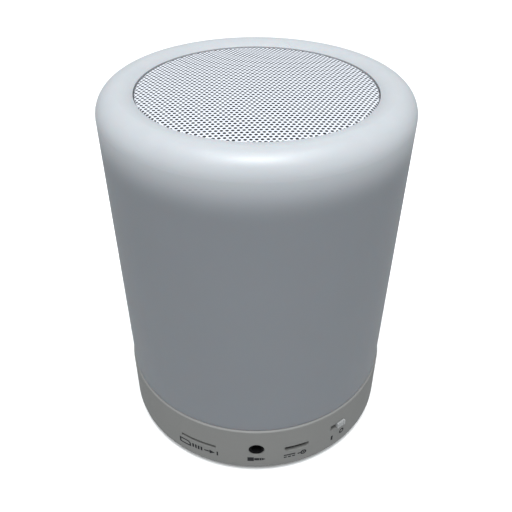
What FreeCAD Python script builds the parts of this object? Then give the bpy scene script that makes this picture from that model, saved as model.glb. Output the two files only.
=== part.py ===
import FreeCAD, Part
import math
import os

import Sketcher
from FreeCAD import Placement, Rotation, Vector

# Wireless audio receiver in the form of a touch lamp: a frosted cylinder on a low base, with a
# perforated grille set into its top. A loudspeaker on an inner column fires up through the grille,
# the lamp's board rings the column's foot, and the circuit board with its ports fills the base.
#
# Millimetres. +Z is up, the origin is the middle of the face the receiver stands on, and the
# ports face -Y. Bearings are degrees about Z from the front, positive towards +X.

SHEET = "Sizes"

DIMENSIONS = {
    # whole
    "outer_radius": 45.0,
    "overall_height": 118.0,
    # base ring
    "base_bottom": 0.8,
    "base_top": 20.9,
    "base_wall": 2.2,
    "base_edge_round": 3.2,
    "base_bevel": 0.5,
    "lip_radius": 40.4,
    "lip_top": 3.4,
    "lip_slope": 1.4,
    "deck_bottom": 16.0,
    "deck_thick": 1.6,
    "wire_hole_radius": 4.0,
    "wire_hole_place": 16.0,
    "lead_hole_radius": 1.0,
    "touch_wire_place": 30.2,
    "touch_wire_bearing": 128.0,
    "lamp_wire_place": 35.0,
    "lamp_wire_bearing": -70.0,
    # bottom cover and foot
    "cover_radius": 40.1,
    "cover_bottom": 1.2,
    "cover_thick": 2.0,
    "cover_boss_place": 36.0,
    "cover_boss_radius": 3.2,
    "cover_boss_bearing": 60.0,
    "foot_outer": 39.4,
    "foot_inner": 32.8,
    "counterbore_radius": 2.9,
    "counterbore_depth": 1.2,
    "label_recess_radius": 22.0,
    "label_recess_depth": 0.4,
    # self-tapping screws
    "screw_radius": 1.0,
    "screw_pilot": 1.05,
    "screw_clearance": 1.4,
    "screw_head_radius": 2.3,
    "screw_head_height": 1.5,
    "recess_width": 0.6,
    "recess_span": 2.8,
    "recess_depth": 0.9,
    # shade
    "shade_radius": 44.5,
    "shade_top_radius": 45.4,
    "shade_wall": 2.0,
    "shade_bottom": 21.2,
    "spigot_bottom": 17.9,
    "spigot_radius": 42.5,
    "spigot_wall": 1.6,
    "spigot_top": 22.4,
    "shoulder_round": 6.4,
    "pocket_radius": 34.65,
    "pocket_drop": 1.4,
    "ledge_bottom": 112.0,
    "ledge_thick": 1.8,
    "ledge_inner": 31.0,
    # grille
    "grille_radius": 34.4,
    "grille_top": 117.4,
    "grille_rise": 1.0,
    "grille_sheet": 0.6,
    "grille_roll": 1.1,
    # column
    "column_radius": 26.0,
    "column_wall": 1.6,
    "column_foot_radius": 31.5,
    "column_foot_thick": 2.0,
    "column_flange_bottom": 105.4,
    "column_flange_thick": 2.0,
    "column_rim_radius": 33.4,
    "column_rim_wall": 2.0,
    "column_rim_top": 111.4,
    "column_screw_place": 28.4,
    "column_screw_bearing": 20.0,
    "column_boss_radius": 2.6,
    "column_boss_height": 4.0,
    "rim_gasket_thick": 0.6,
    # lamp board
    "lamp_board_inner": 32.0,
    "lamp_board_outer": 40.3,
    "lamp_board_thick": 1.2,
    "lamp_ring_radius": 36.4,
    "warm_lamp_count": 12,
    "colour_lamp_count": 6,
    "lamp_length": 3.5,
    "lamp_width": 2.8,
    "lamp_height": 0.8,
    "colour_lamp_side": 5.0,
    "colour_lamp_height": 1.4,
    "colour_lamp_offset": 15.0,
    # battery in the column
    "cell_radius": 9.1,
    "cell_bottom": 19.6,
    "cell_height": 65.2,
    "cell_board_radius": 8.6,
    "cell_board_thick": 1.2,
    "collar_height": 10.0,
    "collar_low": 26.0,
    "collar_high": 68.0,
    "collar_gap": 0.2,
    "channel_width": 8.0,
    "channel_start": 12.0,
    # loudspeaker, heights from the seat its flange stands on
    "speaker_seat": 107.4,
    "speaker_flange_radius": 29.5,
    "speaker_flange_thick": 1.0,
    "speaker_mouth": 23.2,
    "speaker_screw_place": 27.5,
    "speaker_screw_head": 1.8,
    "spider_ledge": 101.2,
    "plate_top": 99.5,
    "plate_thick": 2.5,
    "plate_radius": 16.0,
    "plate_bore": 7.0,
    "magnet_thick": 5.5,
    "magnet_radius": 17.5,
    "magnet_bore": 9.0,
    "yoke_thick": 2.5,
    "tag_width": 8.0,
    "tag_spacing": 2.4,
    "pole_radius": 5.6,
    "coil_inner": 6.0,
    "former_wall": 0.12,
    "former_bottom": 95.6,
    "former_top": 103.9,
    "winding_radius": 6.55,
    "winding_bottom": 96.2,
    "winding_height": 4.2,
    "cone_edge_radius": 20.2,
    "cone_edge_height": 107.6,
    "cone_thick": 0.4,
    "roll_radius": 1.7,
    "surround_thick": 0.4,
    "spider_thick": 0.3,
    "dust_cap_radius": 8.2,
    "dust_cap_rise": 2.3,
    # circuit board
    "board_top": 9.4,
    "board_thick": 1.6,
    "board_radius": 41.0,
    "board_notch": 3.8,
    "board_boss_place": 33.0,
    "board_boss_inner_place": 24.0,
    "board_boss_radius": 2.8,
    "board_pilot": 0.85,
    "board_screw_radius": 0.8,
    "board_screw_head": 1.9,
    "board_screw_hole": 1.1,
    "module_width": 12.0,
    "module_length": 16.0,
    "module_thick": 0.8,
    "module_can_tall": 1.6,
    "chip_tall": 1.5,
    "inductor_side": 6.0,
    "inductor_tall": 2.6,
    "chip_part_length": 1.6,
    "chip_part_width": 0.8,
    "chip_part_tall": 0.7,
    "socket_width": 6.0,
    "socket_depth": 5.0,
    "socket_tall": 4.4,
    # headphone-size input jack
    "jack_bearing": 0.5,
    "jack_height": 11.9,
    "jack_width": 6.0,
    "jack_tall": 5.0,
    "jack_front": 42.2,
    "jack_length": 13.2,
    "jack_nozzle_front": 44.6,
    "jack_nozzle_radius": 2.45,
    "jack_bore": 1.8,
    "jack_bore_depth": 14.6,
    "jack_window": 2.6,
    # charging socket
    "charge_bearing": 17.7,
    "charge_window_width": 8.4,
    "charge_window_height": 2.2,
    "charge_window_chamfer": 1.0,
    "charge_width": 7.5,
    "charge_tall": 2.7,
    "charge_length": 5.6,
    "charge_front": 43.5,
    "charge_pocket_front": 43.7,
    "charge_sheet": 0.3,
    "charge_chamfer": 0.8,
    # memory card socket
    "card_bearing": -25.0,
    "card_height": 10.75,
    "card_window_width": 12.8,
    "card_window_height": 1.3,
    "card_width": 13.6,
    "card_length": 14.0,
    "card_tall": 2.0,
    "card_front": 42.6,
    "card_pocket_front": 43.0,
    "card_sheet": 0.2,
    "card_base_thick": 0.8,
    # slide switch
    "slide_bearing": 38.0,
    "slide_height": 12.8,
    "slide_window_width": 6.2,
    "slide_window_height": 2.4,
    "slide_body_width": 8.6,
    "slide_body_tall": 6.2,
    "slide_body_depth": 4.4,
    "slide_front": 41.8,
    "slide_offset": 1.25,
    "slide_knob_width": 3.2,
    "slide_knob_tall": 2.0,
    "slide_knob_front": 45.7,
    # push keys at the back
    "key_height": 12.0,
    "key_spacing": 14.5,
    "key_width": 7.0,
    "key_tall": 3.2,
    "key_gap": 0.2,
    "key_front": 45.4,
    "key_flange_front": 42.5,
    "key_flange_back": 41.5,
    "key_flange_margin": 0.8,
    "key_stem_radius": 1.4,
    "key_stem_back": 39.5,
    "tact_front": 38.0,
    "tact_width": 6.0,
    "tact_depth": 3.6,
    "tact_tall": 5.0,
    "plunger_radius": 0.95,
    "plunger_back": 37.2,
    "plunger_bore": 1.1,
    "plunger_bore_back": 36.2,
    # microphone
    "mic_bearing": 218.0,
    "mic_height": 12.5,
    "mic_radius": 3.0,
    "mic_front": 42.0,
    "mic_length": 2.7,
    "mic_hole": 0.6,
    # leads
    "lead_radius": 0.6,
    "lead_bend": 3.6,
}

KEYS = ("mode", "previous", "play", "next")

# Where the parts stand on the circuit board, as x and y, with each part's own size after them.
MODULE_PLACE = (-16.5, -6.0)
INDUCTOR_PLACE = (23.0, -10.0)
CHIPS = (
    ("AmplifierChip", "amplifier_chip", 5.0, 6.2, 16.0, -6.0),
    ("TouchChip", "touch_chip", 6.2, 5.0, 14.0, 12.0),
)
CAPACITORS = ((5.0, -12.0, 3.15, 5.4), (-4.0, -14.0, 2.5, 5.0), (20.0, -19.0, 3.15, 5.4))
CHIP_PARTS = (
    *((x, y) for x in (-2.0, 1.0, 4.0) for y in (-3.0, 0.0, 3.0, 6.0)),
    *((x, 17.0) for x in (-22.0, -19.0, -16.0)),
    *((x, -20.0) for x in (9.5, 12.5, 15.5)),
)


class Size:
    """A length or angle: its value now, and the sheet formula that gives it."""

    def __init__(self, value, formula):
        self.value = float(value)
        self.formula = formula

    def _with(self, other, sign, swapped=False):
        other = other if isinstance(other, Size) else Size(other, repr(float(other)))
        first, second = (other, self) if swapped else (self, other)
        values = {
            "+": first.value + second.value,
            "-": first.value - second.value,
            "*": first.value * second.value,
            "/": first.value / second.value if second.value else math.inf,
        }
        return Size(values[sign], f"({first.formula} {sign} {second.formula})")

    def __add__(self, other):
        return self._with(other, "+")

    def __radd__(self, other):
        return self._with(other, "+", swapped=True)

    def __sub__(self, other):
        return self._with(other, "-")

    def __rsub__(self, other):
        return self._with(other, "-", swapped=True)

    def __mul__(self, other):
        return self._with(other, "*")

    def __rmul__(self, other):
        return self._with(other, "*", swapped=True)

    def __truediv__(self, other):
        return self._with(other, "/")

    def __neg__(self):
        return self._with(-1, "*")


class Sizes:
    """The driving dimensions, by name."""

    def __init__(self, document, dimensions):
        self.sheet = document.addObject("Spreadsheet::Sheet", SHEET)
        for row, (name, value) in enumerate(dimensions.items(), start=1):
            self.sheet.set(f"A{row}", name)
            self.sheet.set(f"B{row}", str(value))
            self.sheet.setAlias(f"B{row}", name)
            setattr(self, name, Size(value, f"{SHEET}.{name}"))
        document.recompute()


doc = FreeCAD.newDocument("TouchLampReceiver")
d = Sizes(doc, DIMENSIONS)
pieces = []

base_inner = d.outer_radius - d.base_wall
deck_top = d.deck_bottom + d.deck_thick
cover_top = d.cover_bottom + d.cover_thick
shade_inner = d.shade_radius - d.shade_wall
ledge_top = d.ledge_bottom + d.ledge_thick
column_bore = d.column_radius - d.column_wall
lamp_board_top = deck_top + d.lamp_board_thick
flange_top = d.speaker_seat + d.speaker_flange_thick
plate_bottom = d.plate_top - d.plate_thick
magnet_bottom = plate_bottom - d.magnet_thick
board_bottom = d.board_top - d.board_thick


def number(size):
    """The plain value of a Size, or of a number."""
    return size.value if isinstance(size, Size) else float(size)


def bind(feature, path, size):
    """Ties one property of a feature to the sheet, or sets it where the size is a plain number."""
    if isinstance(size, Size):
        feature.setExpression(path, size.formula)
    elif "[" not in path:
        setattr(feature, path, size)


def turned(bearing, x=0, y=0, z=0, rotation=None):
    """The placement of something made at (x, y, z) facing -Y, swung about Z to a bearing."""
    local = Placement(Vector(number(x), number(y), number(z)), rotation or Rotation())
    return Placement(Vector(), Rotation(Vector(0, 0, 1), number(bearing))) * local


FACING_OUT = Rotation(Vector(1, 0, 0), 90)  # turns a cylinder's axis from +Z to -Y


def keep(feature, label):
    """Makes a feature one of the receiver's pieces, under its own label."""
    feature.Label = label
    pieces.append(feature)
    return feature


def box(name, width, depth, height, x=0, y=0, z=0, bearing=0):
    """A block, centred on x, from y back by its depth, and up from z."""
    feature = doc.addObject("Part::Box", name)
    bind(feature, "Length", width)
    bind(feature, "Width", depth)
    bind(feature, "Height", height)
    feature.Placement = turned(bearing, number(x) - number(width) / 2, y, z)
    return feature


def rod(name, radius, height, x=0, y=0, z=0, bearing=0, facing_out=False):
    """A cylinder, standing up from z, or lying with its far end towards the front."""
    feature = doc.addObject("Part::Cylinder", name)
    bind(feature, "Radius", radius)
    bind(feature, "Height", height)
    feature.Placement = turned(bearing, x, y, z, FACING_OUT if facing_out else None)
    return feature


def fuse(name, parts):
    feature = doc.addObject("Part::MultiFuse", name)
    feature.Shapes = parts
    return feature


def cut(name, base, tools):
    feature = doc.addObject("Part::Cut", name)
    feature.Base = base
    feature.Tool = tools[0] if len(tools) == 1 else fuse(name + "Tools", tools)
    return feature


def common(name, first, second):
    feature = doc.addObject("Part::Common", name)
    feature.Base = first
    feature.Tool = second
    return feature


def group(name, parts):
    """Several separate solids that share one node."""
    feature = doc.addObject("Part::Compound", name)
    feature.Links = parts
    return feature


def arc_through(start, end, radius):
    """An arc from start to end, bulging to the right of the way, as a rounded outer corner does."""
    chord = end - start
    half = chord.Length / 2
    across = Vector(chord.y, -chord.x, 0).normalize()
    reach = math.sqrt(max(radius**2 - half**2, 0)) * (1 if radius > 0 else -1)
    centre = (start + end) / 2 - across * reach
    middle = centre + across * radius
    return Part.Arc(start, middle, end)


def draw(sketch, outline):
    """Draws a closed outline whose corners and arcs are bound to the sheet.

    A corner is (across, up), and (across, up, radius) starts an arc to the next corner: it
    bulges outwards where the radius is positive and the outline runs anticlockwise.
    """
    corners = [Vector(number(c[0]), number(c[1]), 0) for c in outline]
    for index, corner in enumerate(outline):
        start, end = corners[index], corners[(index + 1) % len(outline)]
        if len(corner) == 3:
            sketch.addGeometry(arc_through(start, end, number(corner[2])))
        else:
            sketch.addGeometry(Part.LineSegment(start, end))
    first = [sketch_start(sketch, index, corners[index]) for index in range(len(outline))]
    for index in range(len(outline)):
        after = (index + 1) % len(outline)
        last = 2 if first[index] == 1 else 1
        sketch.addConstraint(Sketcher.Constraint("Coincident", index, last, after, first[after]))
    for index, corner in enumerate(outline):
        for kind, size in (("DistanceX", corner[0]), ("DistanceY", corner[1])):
            hold(sketch, Sketcher.Constraint(kind, -1, 1, index, first[index], number(size)), size)
        if len(corner) == 3:
            radius = abs(number(corner[2]))
            size = corner[2] if number(corner[2]) > 0 else -corner[2]
            hold(sketch, Sketcher.Constraint("Radius", index, radius), size)


def sketch_start(sketch, index, corner):
    """Which end of a drawn edge lies on a corner: an arc's ends always run anticlockwise."""
    near = min((1, 2), key=lambda end: sketch.getPoint(index, end).distanceToPoint(corner))
    return near


def hold(sketch, constraint, size):
    """Adds a constraint and binds its value to the sheet."""
    index = sketch.addConstraint(constraint)
    if isinstance(size, Size):
        sketch.setExpression(f"Constraints[{index}]", size.formula)


def new_sketch(body, role, outline):
    """A sketch on one of the body's own origin planes."""
    sketch = body.newObject("Sketcher::SketchObject", body.Name + "Sketch")
    plane = next(o for o in body.Origin.OriginFeatures if o.Role == role)
    sketch.AttachmentSupport = [(plane, "")]
    sketch.MapMode = "FlatFace"
    draw(sketch, outline)
    return sketch


def lathe(name, outline):
    """A body turned about Z from an outline of (radius, height) corners."""
    body = doc.addObject("PartDesign::Body", name)
    sketch = new_sketch(body, "XZ_Plane", outline)
    turn = body.newObject("PartDesign::Revolution", name + "Turn")
    turn.Profile = sketch
    turn.ReferenceAxis = (sketch, ["V_Axis"])
    turn.Angle = 360
    return body


def ring(name, inner, outer, bottom, thick):
    """A flat ring or disc."""
    top = bottom + thick
    return lathe(name, [(inner, bottom), (outer, bottom), (outer, top), (inner, top)])


def profile(name, outline, length, x=0, y=0, z=0, bearing=0):
    """A body padded from an upright outline of (across, up) corners, from y back by its length."""
    body = doc.addObject("PartDesign::Body", name)
    sketch = new_sketch(body, "XZ_Plane", outline)
    pad = body.newObject("PartDesign::Pad", name + "Pad")
    pad.Profile = sketch
    bind(pad, "Length", length)
    pad.Reversed = True
    body.Placement = turned(bearing, x, y, z)
    return body


def rectangle(width, height):
    """The corners of a rectangle about the origin."""
    return [
        (-width / 2, -height / 2),
        (width / 2, -height / 2),
        (width / 2, height / 2),
        (-width / 2, height / 2),
    ]


def oval(width, height):
    """The outline of a slot with round ends, about the origin."""
    half, straight = height / 2, (width - height) / 2
    return [
        (-straight, -half),
        (straight, -half, half * 1.0001),
        (straight, half),
        (-straight, half, half * 1.0001),
    ]


def plug_shape(width, height, chamfer):
    """A rectangle about the origin with its two lower corners cut off."""
    return [
        (chamfer - width / 2, -height / 2),
        (width / 2 - chamfer, -height / 2),
        (width / 2, chamfer - height / 2),
        (width / 2, height / 2),
        (-width / 2, height / 2),
        (-width / 2, chamfer - height / 2),
    ]


def around(count, first=0.0):
    """Evenly spaced bearings."""
    return [first + 360.0 * index / count for index in range(count)]


COVER_BEARINGS = [d.cover_boss_bearing.value * sign for sign in (1, -1, 2, -2)]
COLUMN_BEARINGS = around(3, d.column_screw_bearing.value)
SPEAKER_BEARINGS = around(4, 45.0)
BOARD_BOSSES = [
    (90.0, d.board_boss_place),
    (-90.0, d.board_boss_place),
    (180.0, d.board_boss_inner_place),
]
KEY_BEARINGS = [180.0 + d.key_spacing.value * (step - 1.5) for step in range(4)]


def screw(name, seat, length, place, bearing, shank, head, upright=True):
    """A pan-head cross-recess screw, with its head above the seat, or below it."""
    sign = 1 if upright else -1
    top = seat + d.screw_head_height * sign
    tip = seat - length * sign
    edge = 0.4
    outline = [
        (0, tip),
        (shank * 0.5, tip),
        (shank, tip + shank * 0.7 * sign),
        (shank, seat),
        (head, seat),
        (head, top - 2 * edge * sign),
        (head - edge, top),
        (0, top),
    ]
    turned_body = lathe(name + "Body", outline if upright else outline[::-1])
    low = top - d.recess_depth if upright else top
    blades = [
        box(name + "BladeA", d.recess_span, d.recess_width, d.recess_depth,
            y=-d.recess_width / 2, z=low),
        box(name + "BladeB", d.recess_width, d.recess_span, d.recess_depth,
            y=-d.recess_span / 2, z=low),
    ]
    feature = cut(name, turned_body, blades)
    feature.Placement = turned(bearing, 0, -place)
    return feature


def screws(label, seat, length, places, shank=None, head=None, upright=True):
    """A node of like screws, at (bearing, distance from the axis)."""
    shank = shank or d.screw_radius
    head = head or d.screw_head_radius
    made = [
        screw(f"{label}{index}", seat, length, place, bearing, shank, head, upright)
        for index, (bearing, place) in enumerate(places)
    ]
    return keep(group(label, made), label)


def base_ring():
    """The base: an outer wall with the port windows, and a deck with screw bosses under it."""
    outline = [
        (d.lip_radius, d.base_bottom),
        (d.outer_radius - d.base_edge_round, d.base_bottom, d.base_edge_round),
        (d.outer_radius, d.base_bottom + d.base_edge_round),
        (d.outer_radius, d.base_top - d.base_bevel),
        (d.outer_radius - d.base_bevel, d.base_top),
        (base_inner, d.base_top),
        (base_inner, deck_top),
        (0, deck_top),
        (0, d.deck_bottom),
        (base_inner, d.deck_bottom),
        (base_inner, d.lip_top + d.lip_slope),
        (d.lip_radius, d.lip_top),
    ]
    shell = lathe("BaseShell", outline)
    bosses, holes = [], []
    for index, bearing in enumerate(COVER_BEARINGS):
        place = -d.cover_boss_place
        bosses.append(rod(f"CoverBoss{index}", d.cover_boss_radius,
                          d.deck_bottom - cover_top + 0.5, y=place, z=cover_top, bearing=bearing))
        holes.append(rod(f"CoverPilot{index}", d.screw_pilot, 9.0,
                         y=place, z=cover_top - 0.1, bearing=bearing))
    for index, (bearing, place) in enumerate(BOARD_BOSSES):
        bosses.append(rod(f"BoardBoss{index}", d.board_boss_radius,
                          d.deck_bottom - d.board_top + 0.5, y=-place, z=d.board_top, bearing=bearing))
        holes.append(rod(f"BoardPilot{index}", d.board_pilot, 6.0,
                         y=-place, z=d.board_top - 0.1, bearing=bearing))
    for index, bearing in enumerate(COLUMN_BEARINGS):
        holes.append(rod(f"ColumnHole{index}", d.screw_clearance, 4.0,
                         y=-d.column_screw_place, z=d.deck_bottom - 1, bearing=bearing))
    holes.append(rod("WireHole", d.wire_hole_radius, 4.0, y=d.wire_hole_place, z=d.deck_bottom - 1))
    holes.append(rod("TouchWireHole", d.lead_hole_radius, 4.0, y=-d.touch_wire_place,
                     z=d.deck_bottom - 1, bearing=d.touch_wire_bearing))
    holes.append(box("LampWireHole", 6.0, 2.6, 4.0, y=-d.lamp_wire_place - 1.3,
                     z=d.deck_bottom - 1, bearing=d.lamp_wire_bearing))
    # Flat pockets inside the wall let the two longer sockets come close behind it.
    holes.append(box("ChargePocket", d.charge_width + 1.5, 3.0, d.charge_tall + 1.0,
                     y=-d.charge_pocket_front, z=d.board_top - 0.5, bearing=d.charge_bearing))
    holes.append(box("CardPocket", d.card_width + 1.0, 3.0, d.card_tall + 1.0,
                     y=-d.card_pocket_front, z=d.board_top - 0.5, bearing=d.card_bearing))
    solid = fuse("BaseSolid", [shell] + bosses)
    keep(cut("BaseRing", solid, holes + windows()), "base_ring")


def windows():
    """The openings through the base's wall."""
    front, deep = -47.0, 6.5
    made = [
        rod("JackWindow", d.jack_window, deep, y=front + deep, z=d.jack_height,
            bearing=d.jack_bearing, facing_out=True),
        profile("ChargeWindow",
                plug_shape(d.charge_window_width, d.charge_window_height, d.charge_window_chamfer),
                deep, y=front, z=d.board_top + d.charge_tall / 2, bearing=d.charge_bearing),
        profile("CardWindow", rectangle(d.card_window_width, d.card_window_height), deep,
                y=front, z=d.card_height, bearing=d.card_bearing),
        profile("SlideWindow", rectangle(d.slide_window_width, d.slide_window_height), deep,
                y=front, z=d.slide_height, bearing=d.slide_bearing),
        rod("MicWindow", d.mic_hole, deep, y=front + deep, z=d.mic_height,
            bearing=d.mic_bearing, facing_out=True),
    ]
    for name, bearing in zip(KEYS, KEY_BEARINGS):
        made.append(profile("KeyWindow" + name.title(),
                            oval(d.key_width + 2 * d.key_gap, d.key_tall + 2 * d.key_gap),
                            deep, y=front, z=d.key_height, bearing=bearing))
    return made


def bottom():
    """The cover that closes the base, its screws and the ring foot stuck under it."""
    disc = ring("CoverDisc", 0, d.cover_radius, d.cover_bottom, d.cover_thick)
    holes = []
    for index, bearing in enumerate(COVER_BEARINGS):
        holes.append(rod(f"CoverHole{index}", d.screw_clearance, 4.0,
                         y=-d.cover_boss_place, z=0.5, bearing=bearing))
        holes.append(rod(f"CoverBore{index}", d.counterbore_radius, d.counterbore_depth + 0.5,
                         y=-d.cover_boss_place, z=d.cover_bottom - 0.5, bearing=bearing))
    holes.append(rod("LabelRecess", d.label_recess_radius, d.label_recess_depth + 0.5,
                     z=d.cover_bottom - 0.5))
    keep(cut("BottomCover", disc, holes), "bottom_cover")
    keep(ring("FootRing", d.foot_inner, d.foot_outer, 0, d.cover_bottom), "foot_ring")
    seat = d.cover_bottom + d.counterbore_depth
    # The heads are low, so that they stay under the foot that hides them.
    places = [(bearing, d.cover_boss_place) for bearing in COVER_BEARINGS]
    made = []
    for index, (bearing, place) in enumerate(places):
        head = rod(f"CoverScrewHead{index}", d.screw_head_radius, d.counterbore_depth - 0.1)
        head.Placement = Placement(Vector(0, 0, d.cover_bottom.value + 0.1), Rotation())
        shank = rod(f"CoverScrewShank{index}", d.screw_radius, 7.0, z=seat - 0.05)
        blade = box(f"CoverScrewBladeA{index}", d.recess_span, d.recess_width, 0.7,
                    y=-d.recess_width / 2, z=d.cover_bottom - 0.1)
        cross = box(f"CoverScrewBladeB{index}", d.recess_width, d.recess_span, 0.7,
                    y=-d.recess_span / 2, z=d.cover_bottom - 0.1)
        body = fuse(f"CoverScrewSolid{index}", [head, shank])
        one = cut(f"CoverScrew{index}", body, [blade, cross])
        one.Placement = turned(bearing, 0, -place)
        made.append(one)
    keep(group("CoverScrews", made), "cover_screws")


def shade():
    """The frosted shade: one moulding, a little wider at its shoulder, with a pocket in its top."""
    spigot_inner = d.spigot_radius - d.spigot_wall
    top_inner = d.shade_top_radius - d.shade_wall
    wall_round = d.shoulder_round - d.shade_wall
    under_top = d.overall_height - d.shade_wall
    crest = d.shade_top_radius - d.shoulder_round
    dip = crest - d.pocket_radius
    dip_round = (dip * dip + d.pocket_drop * d.pocket_drop) / (2 * d.pocket_drop)
    outline = [
        (spigot_inner, d.spigot_bottom),
        (d.spigot_radius, d.spigot_bottom),
        (d.spigot_radius, d.shade_bottom),
        (d.shade_radius, d.shade_bottom),
        (d.shade_top_radius, d.overall_height - d.shoulder_round, d.shoulder_round),
        (crest, d.overall_height, dip_round),
        (d.pocket_radius, d.overall_height - d.pocket_drop),
        (d.pocket_radius, ledge_top),
        (d.ledge_inner, ledge_top),
        (d.ledge_inner, d.ledge_bottom),
        (d.pocket_radius + d.shade_wall, d.ledge_bottom),
        (d.pocket_radius + d.shade_wall, under_top - 0.6),
        (d.pocket_radius + d.shade_wall + 0.6, under_top),
        (crest, under_top, -wall_round),
        (top_inner, d.overall_height - d.shoulder_round),
        (shade_inner, d.spigot_top + (shade_inner - spigot_inner)),
        (spigot_inner, d.spigot_top),
    ]
    keep(lathe("Shade", outline), "shade")


def grille():
    """The pressed grille: a low dome with a rolled edge and a short skirt."""
    edge = d.grille_radius - d.grille_roll
    edge_top = d.grille_top - d.grille_rise
    dome = (edge * edge + d.grille_rise * d.grille_rise) / (2 * d.grille_rise)
    inner_roll = d.grille_roll - d.grille_sheet
    outline = [
        (0, d.grille_top - d.grille_sheet, -(dome - d.grille_sheet)),
        (edge, edge_top - d.grille_sheet, -inner_roll),
        (edge + inner_roll, edge_top - d.grille_roll),
        (edge + inner_roll, ledge_top),
        (d.grille_radius, ledge_top),
        (d.grille_radius, edge_top - d.grille_roll, d.grille_roll),
        (edge, edge_top, dome),
        (0, d.grille_top),
    ]
    keep(lathe("Grille", outline), "grille")


def column():
    """The inner column: it carries the loudspeaker and the shade, and holds the battery."""
    flange_bottom, rim_inner = d.column_flange_bottom, d.column_rim_radius - d.column_rim_wall
    foot_top = deck_top + d.column_foot_thick
    flange_upper = flange_bottom + d.column_flange_thick
    outline = [
        (column_bore, deck_top),
        (d.column_foot_radius, deck_top),
        (d.column_foot_radius, foot_top),
        (d.column_radius, foot_top),
        (d.column_radius, flange_bottom),
        (d.column_rim_radius, flange_bottom),
        (d.column_rim_radius, d.column_rim_top),
        (rim_inner, d.column_rim_top),
        (rim_inner, flange_upper),
        (column_bore, flange_upper),
    ]
    tube = lathe("ColumnTube", outline)
    bosses, holes = [], []
    for index, bearing in enumerate(COLUMN_BEARINGS):
        bosses.append(rod(f"FootBoss{index}", d.column_boss_radius,
                          d.column_foot_thick + d.column_boss_height,
                          y=-d.column_screw_place, z=deck_top, bearing=bearing))
        holes.append(rod(f"FootPilot{index}", d.screw_pilot, 5.5,
                         y=-d.column_screw_place, z=deck_top - 0.5, bearing=bearing))
    for index, bearing in enumerate(SPEAKER_BEARINGS):
        bosses.append(rod(f"SeatBoss{index}", d.column_boss_radius, d.column_boss_height + 1.0,
                          y=-d.speaker_screw_place, z=flange_bottom - d.column_boss_height,
                          bearing=bearing))
        holes.append(rod(f"SeatPilot{index}", d.screw_pilot, 5.5,
                         y=-d.speaker_screw_place, z=flange_upper - 5.0, bearing=bearing))
    holes.append(rod("ColumnBore", column_bore, d.overall_height, z=0))
    for index, low in enumerate((deck_top - 1, flange_bottom - 1)):
        holes.append(rod(f"TouchHole{index}", d.lead_hole_radius, 4.0, y=-d.touch_wire_place,
                         z=low, bearing=d.touch_wire_bearing))
    keep(cut("Column", fuse("ColumnSolid", [tube] + bosses), holes), "speaker_column")
    keep(ring("RimGasket", d.ledge_inner + 0.5, d.column_rim_radius - 0.1, d.column_rim_top,
              d.rim_gasket_thick), "rim_gasket")
    screws("column_screws", d.deck_bottom, 5.6,
           [(bearing, d.column_screw_place) for bearing in COLUMN_BEARINGS], upright=False)


def lamp():
    """The lamp's ring board and its two kinds of light source."""
    board = ring("LampDisc", d.lamp_board_inner, d.lamp_board_outer, deck_top, d.lamp_board_thick)
    pads = box("LampPadHole", 5.6, 2.6, 4.0, y=-d.lamp_wire_place - 1.3, z=deck_top - 1,
               bearing=d.lamp_wire_bearing)
    keep(cut("LampBoard", board, [pads]), "lamp_board")
    warm = [
        box(f"WarmLamp{index}", d.lamp_length, d.lamp_width, d.lamp_height,
            y=-d.lamp_ring_radius - d.lamp_width / 2, z=lamp_board_top, bearing=bearing)
        for index, bearing in enumerate(around(int(d.warm_lamp_count.value)))
    ]
    keep(group("WarmLamps", warm), "warm_lamps")
    side = d.colour_lamp_side
    colour = [
        box(f"ColourLamp{index}", side, side, d.colour_lamp_height,
            y=-d.lamp_ring_radius - side / 2, z=lamp_board_top, bearing=bearing)
        for index, bearing in enumerate(
            around(int(d.colour_lamp_count.value), d.colour_lamp_offset.value))
    ]
    keep(group("ColourLamps", colour), "colour_lamps")


def battery():
    """The cell, its safety board, the pad it stands on and the two foam collars round it."""
    cell_top = d.cell_bottom + d.cell_height
    edge, neck = 0.6, 2.8
    outline = [
        (0, d.cell_bottom),
        (d.cell_radius - edge, d.cell_bottom, edge),
        (d.cell_radius, d.cell_bottom + edge),
        (d.cell_radius, cell_top - edge - 1, edge),
        (d.cell_radius - edge, cell_top - 1),
        (neck, cell_top - 1),
        (neck, cell_top),
        (0, cell_top),
    ]
    keep(lathe("BatteryCell", outline), "battery_cell")
    keep(ring("CellBoard", 0, d.cell_board_radius, cell_top, d.cell_board_thick),
         "cell_safety_board")
    keep(ring("CellPad", 0, d.cell_radius, deck_top, d.cell_bottom - deck_top), "cell_pad")
    collars = []
    for name, low in (("LowCollar", d.collar_low), ("HighCollar", d.collar_high)):
        full = ring(name + "Ring", d.cell_radius + d.collar_gap / 2, column_bore - d.collar_gap,
                    low, d.collar_height)
        channel = box(name + "Channel", d.channel_width, 20.0, d.collar_height + 2,
                      y=d.channel_start, z=low - 1)
        collars.append(cut(name, full, [channel]))
    keep(group("CellCollars", collars), "cell_collars")


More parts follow.
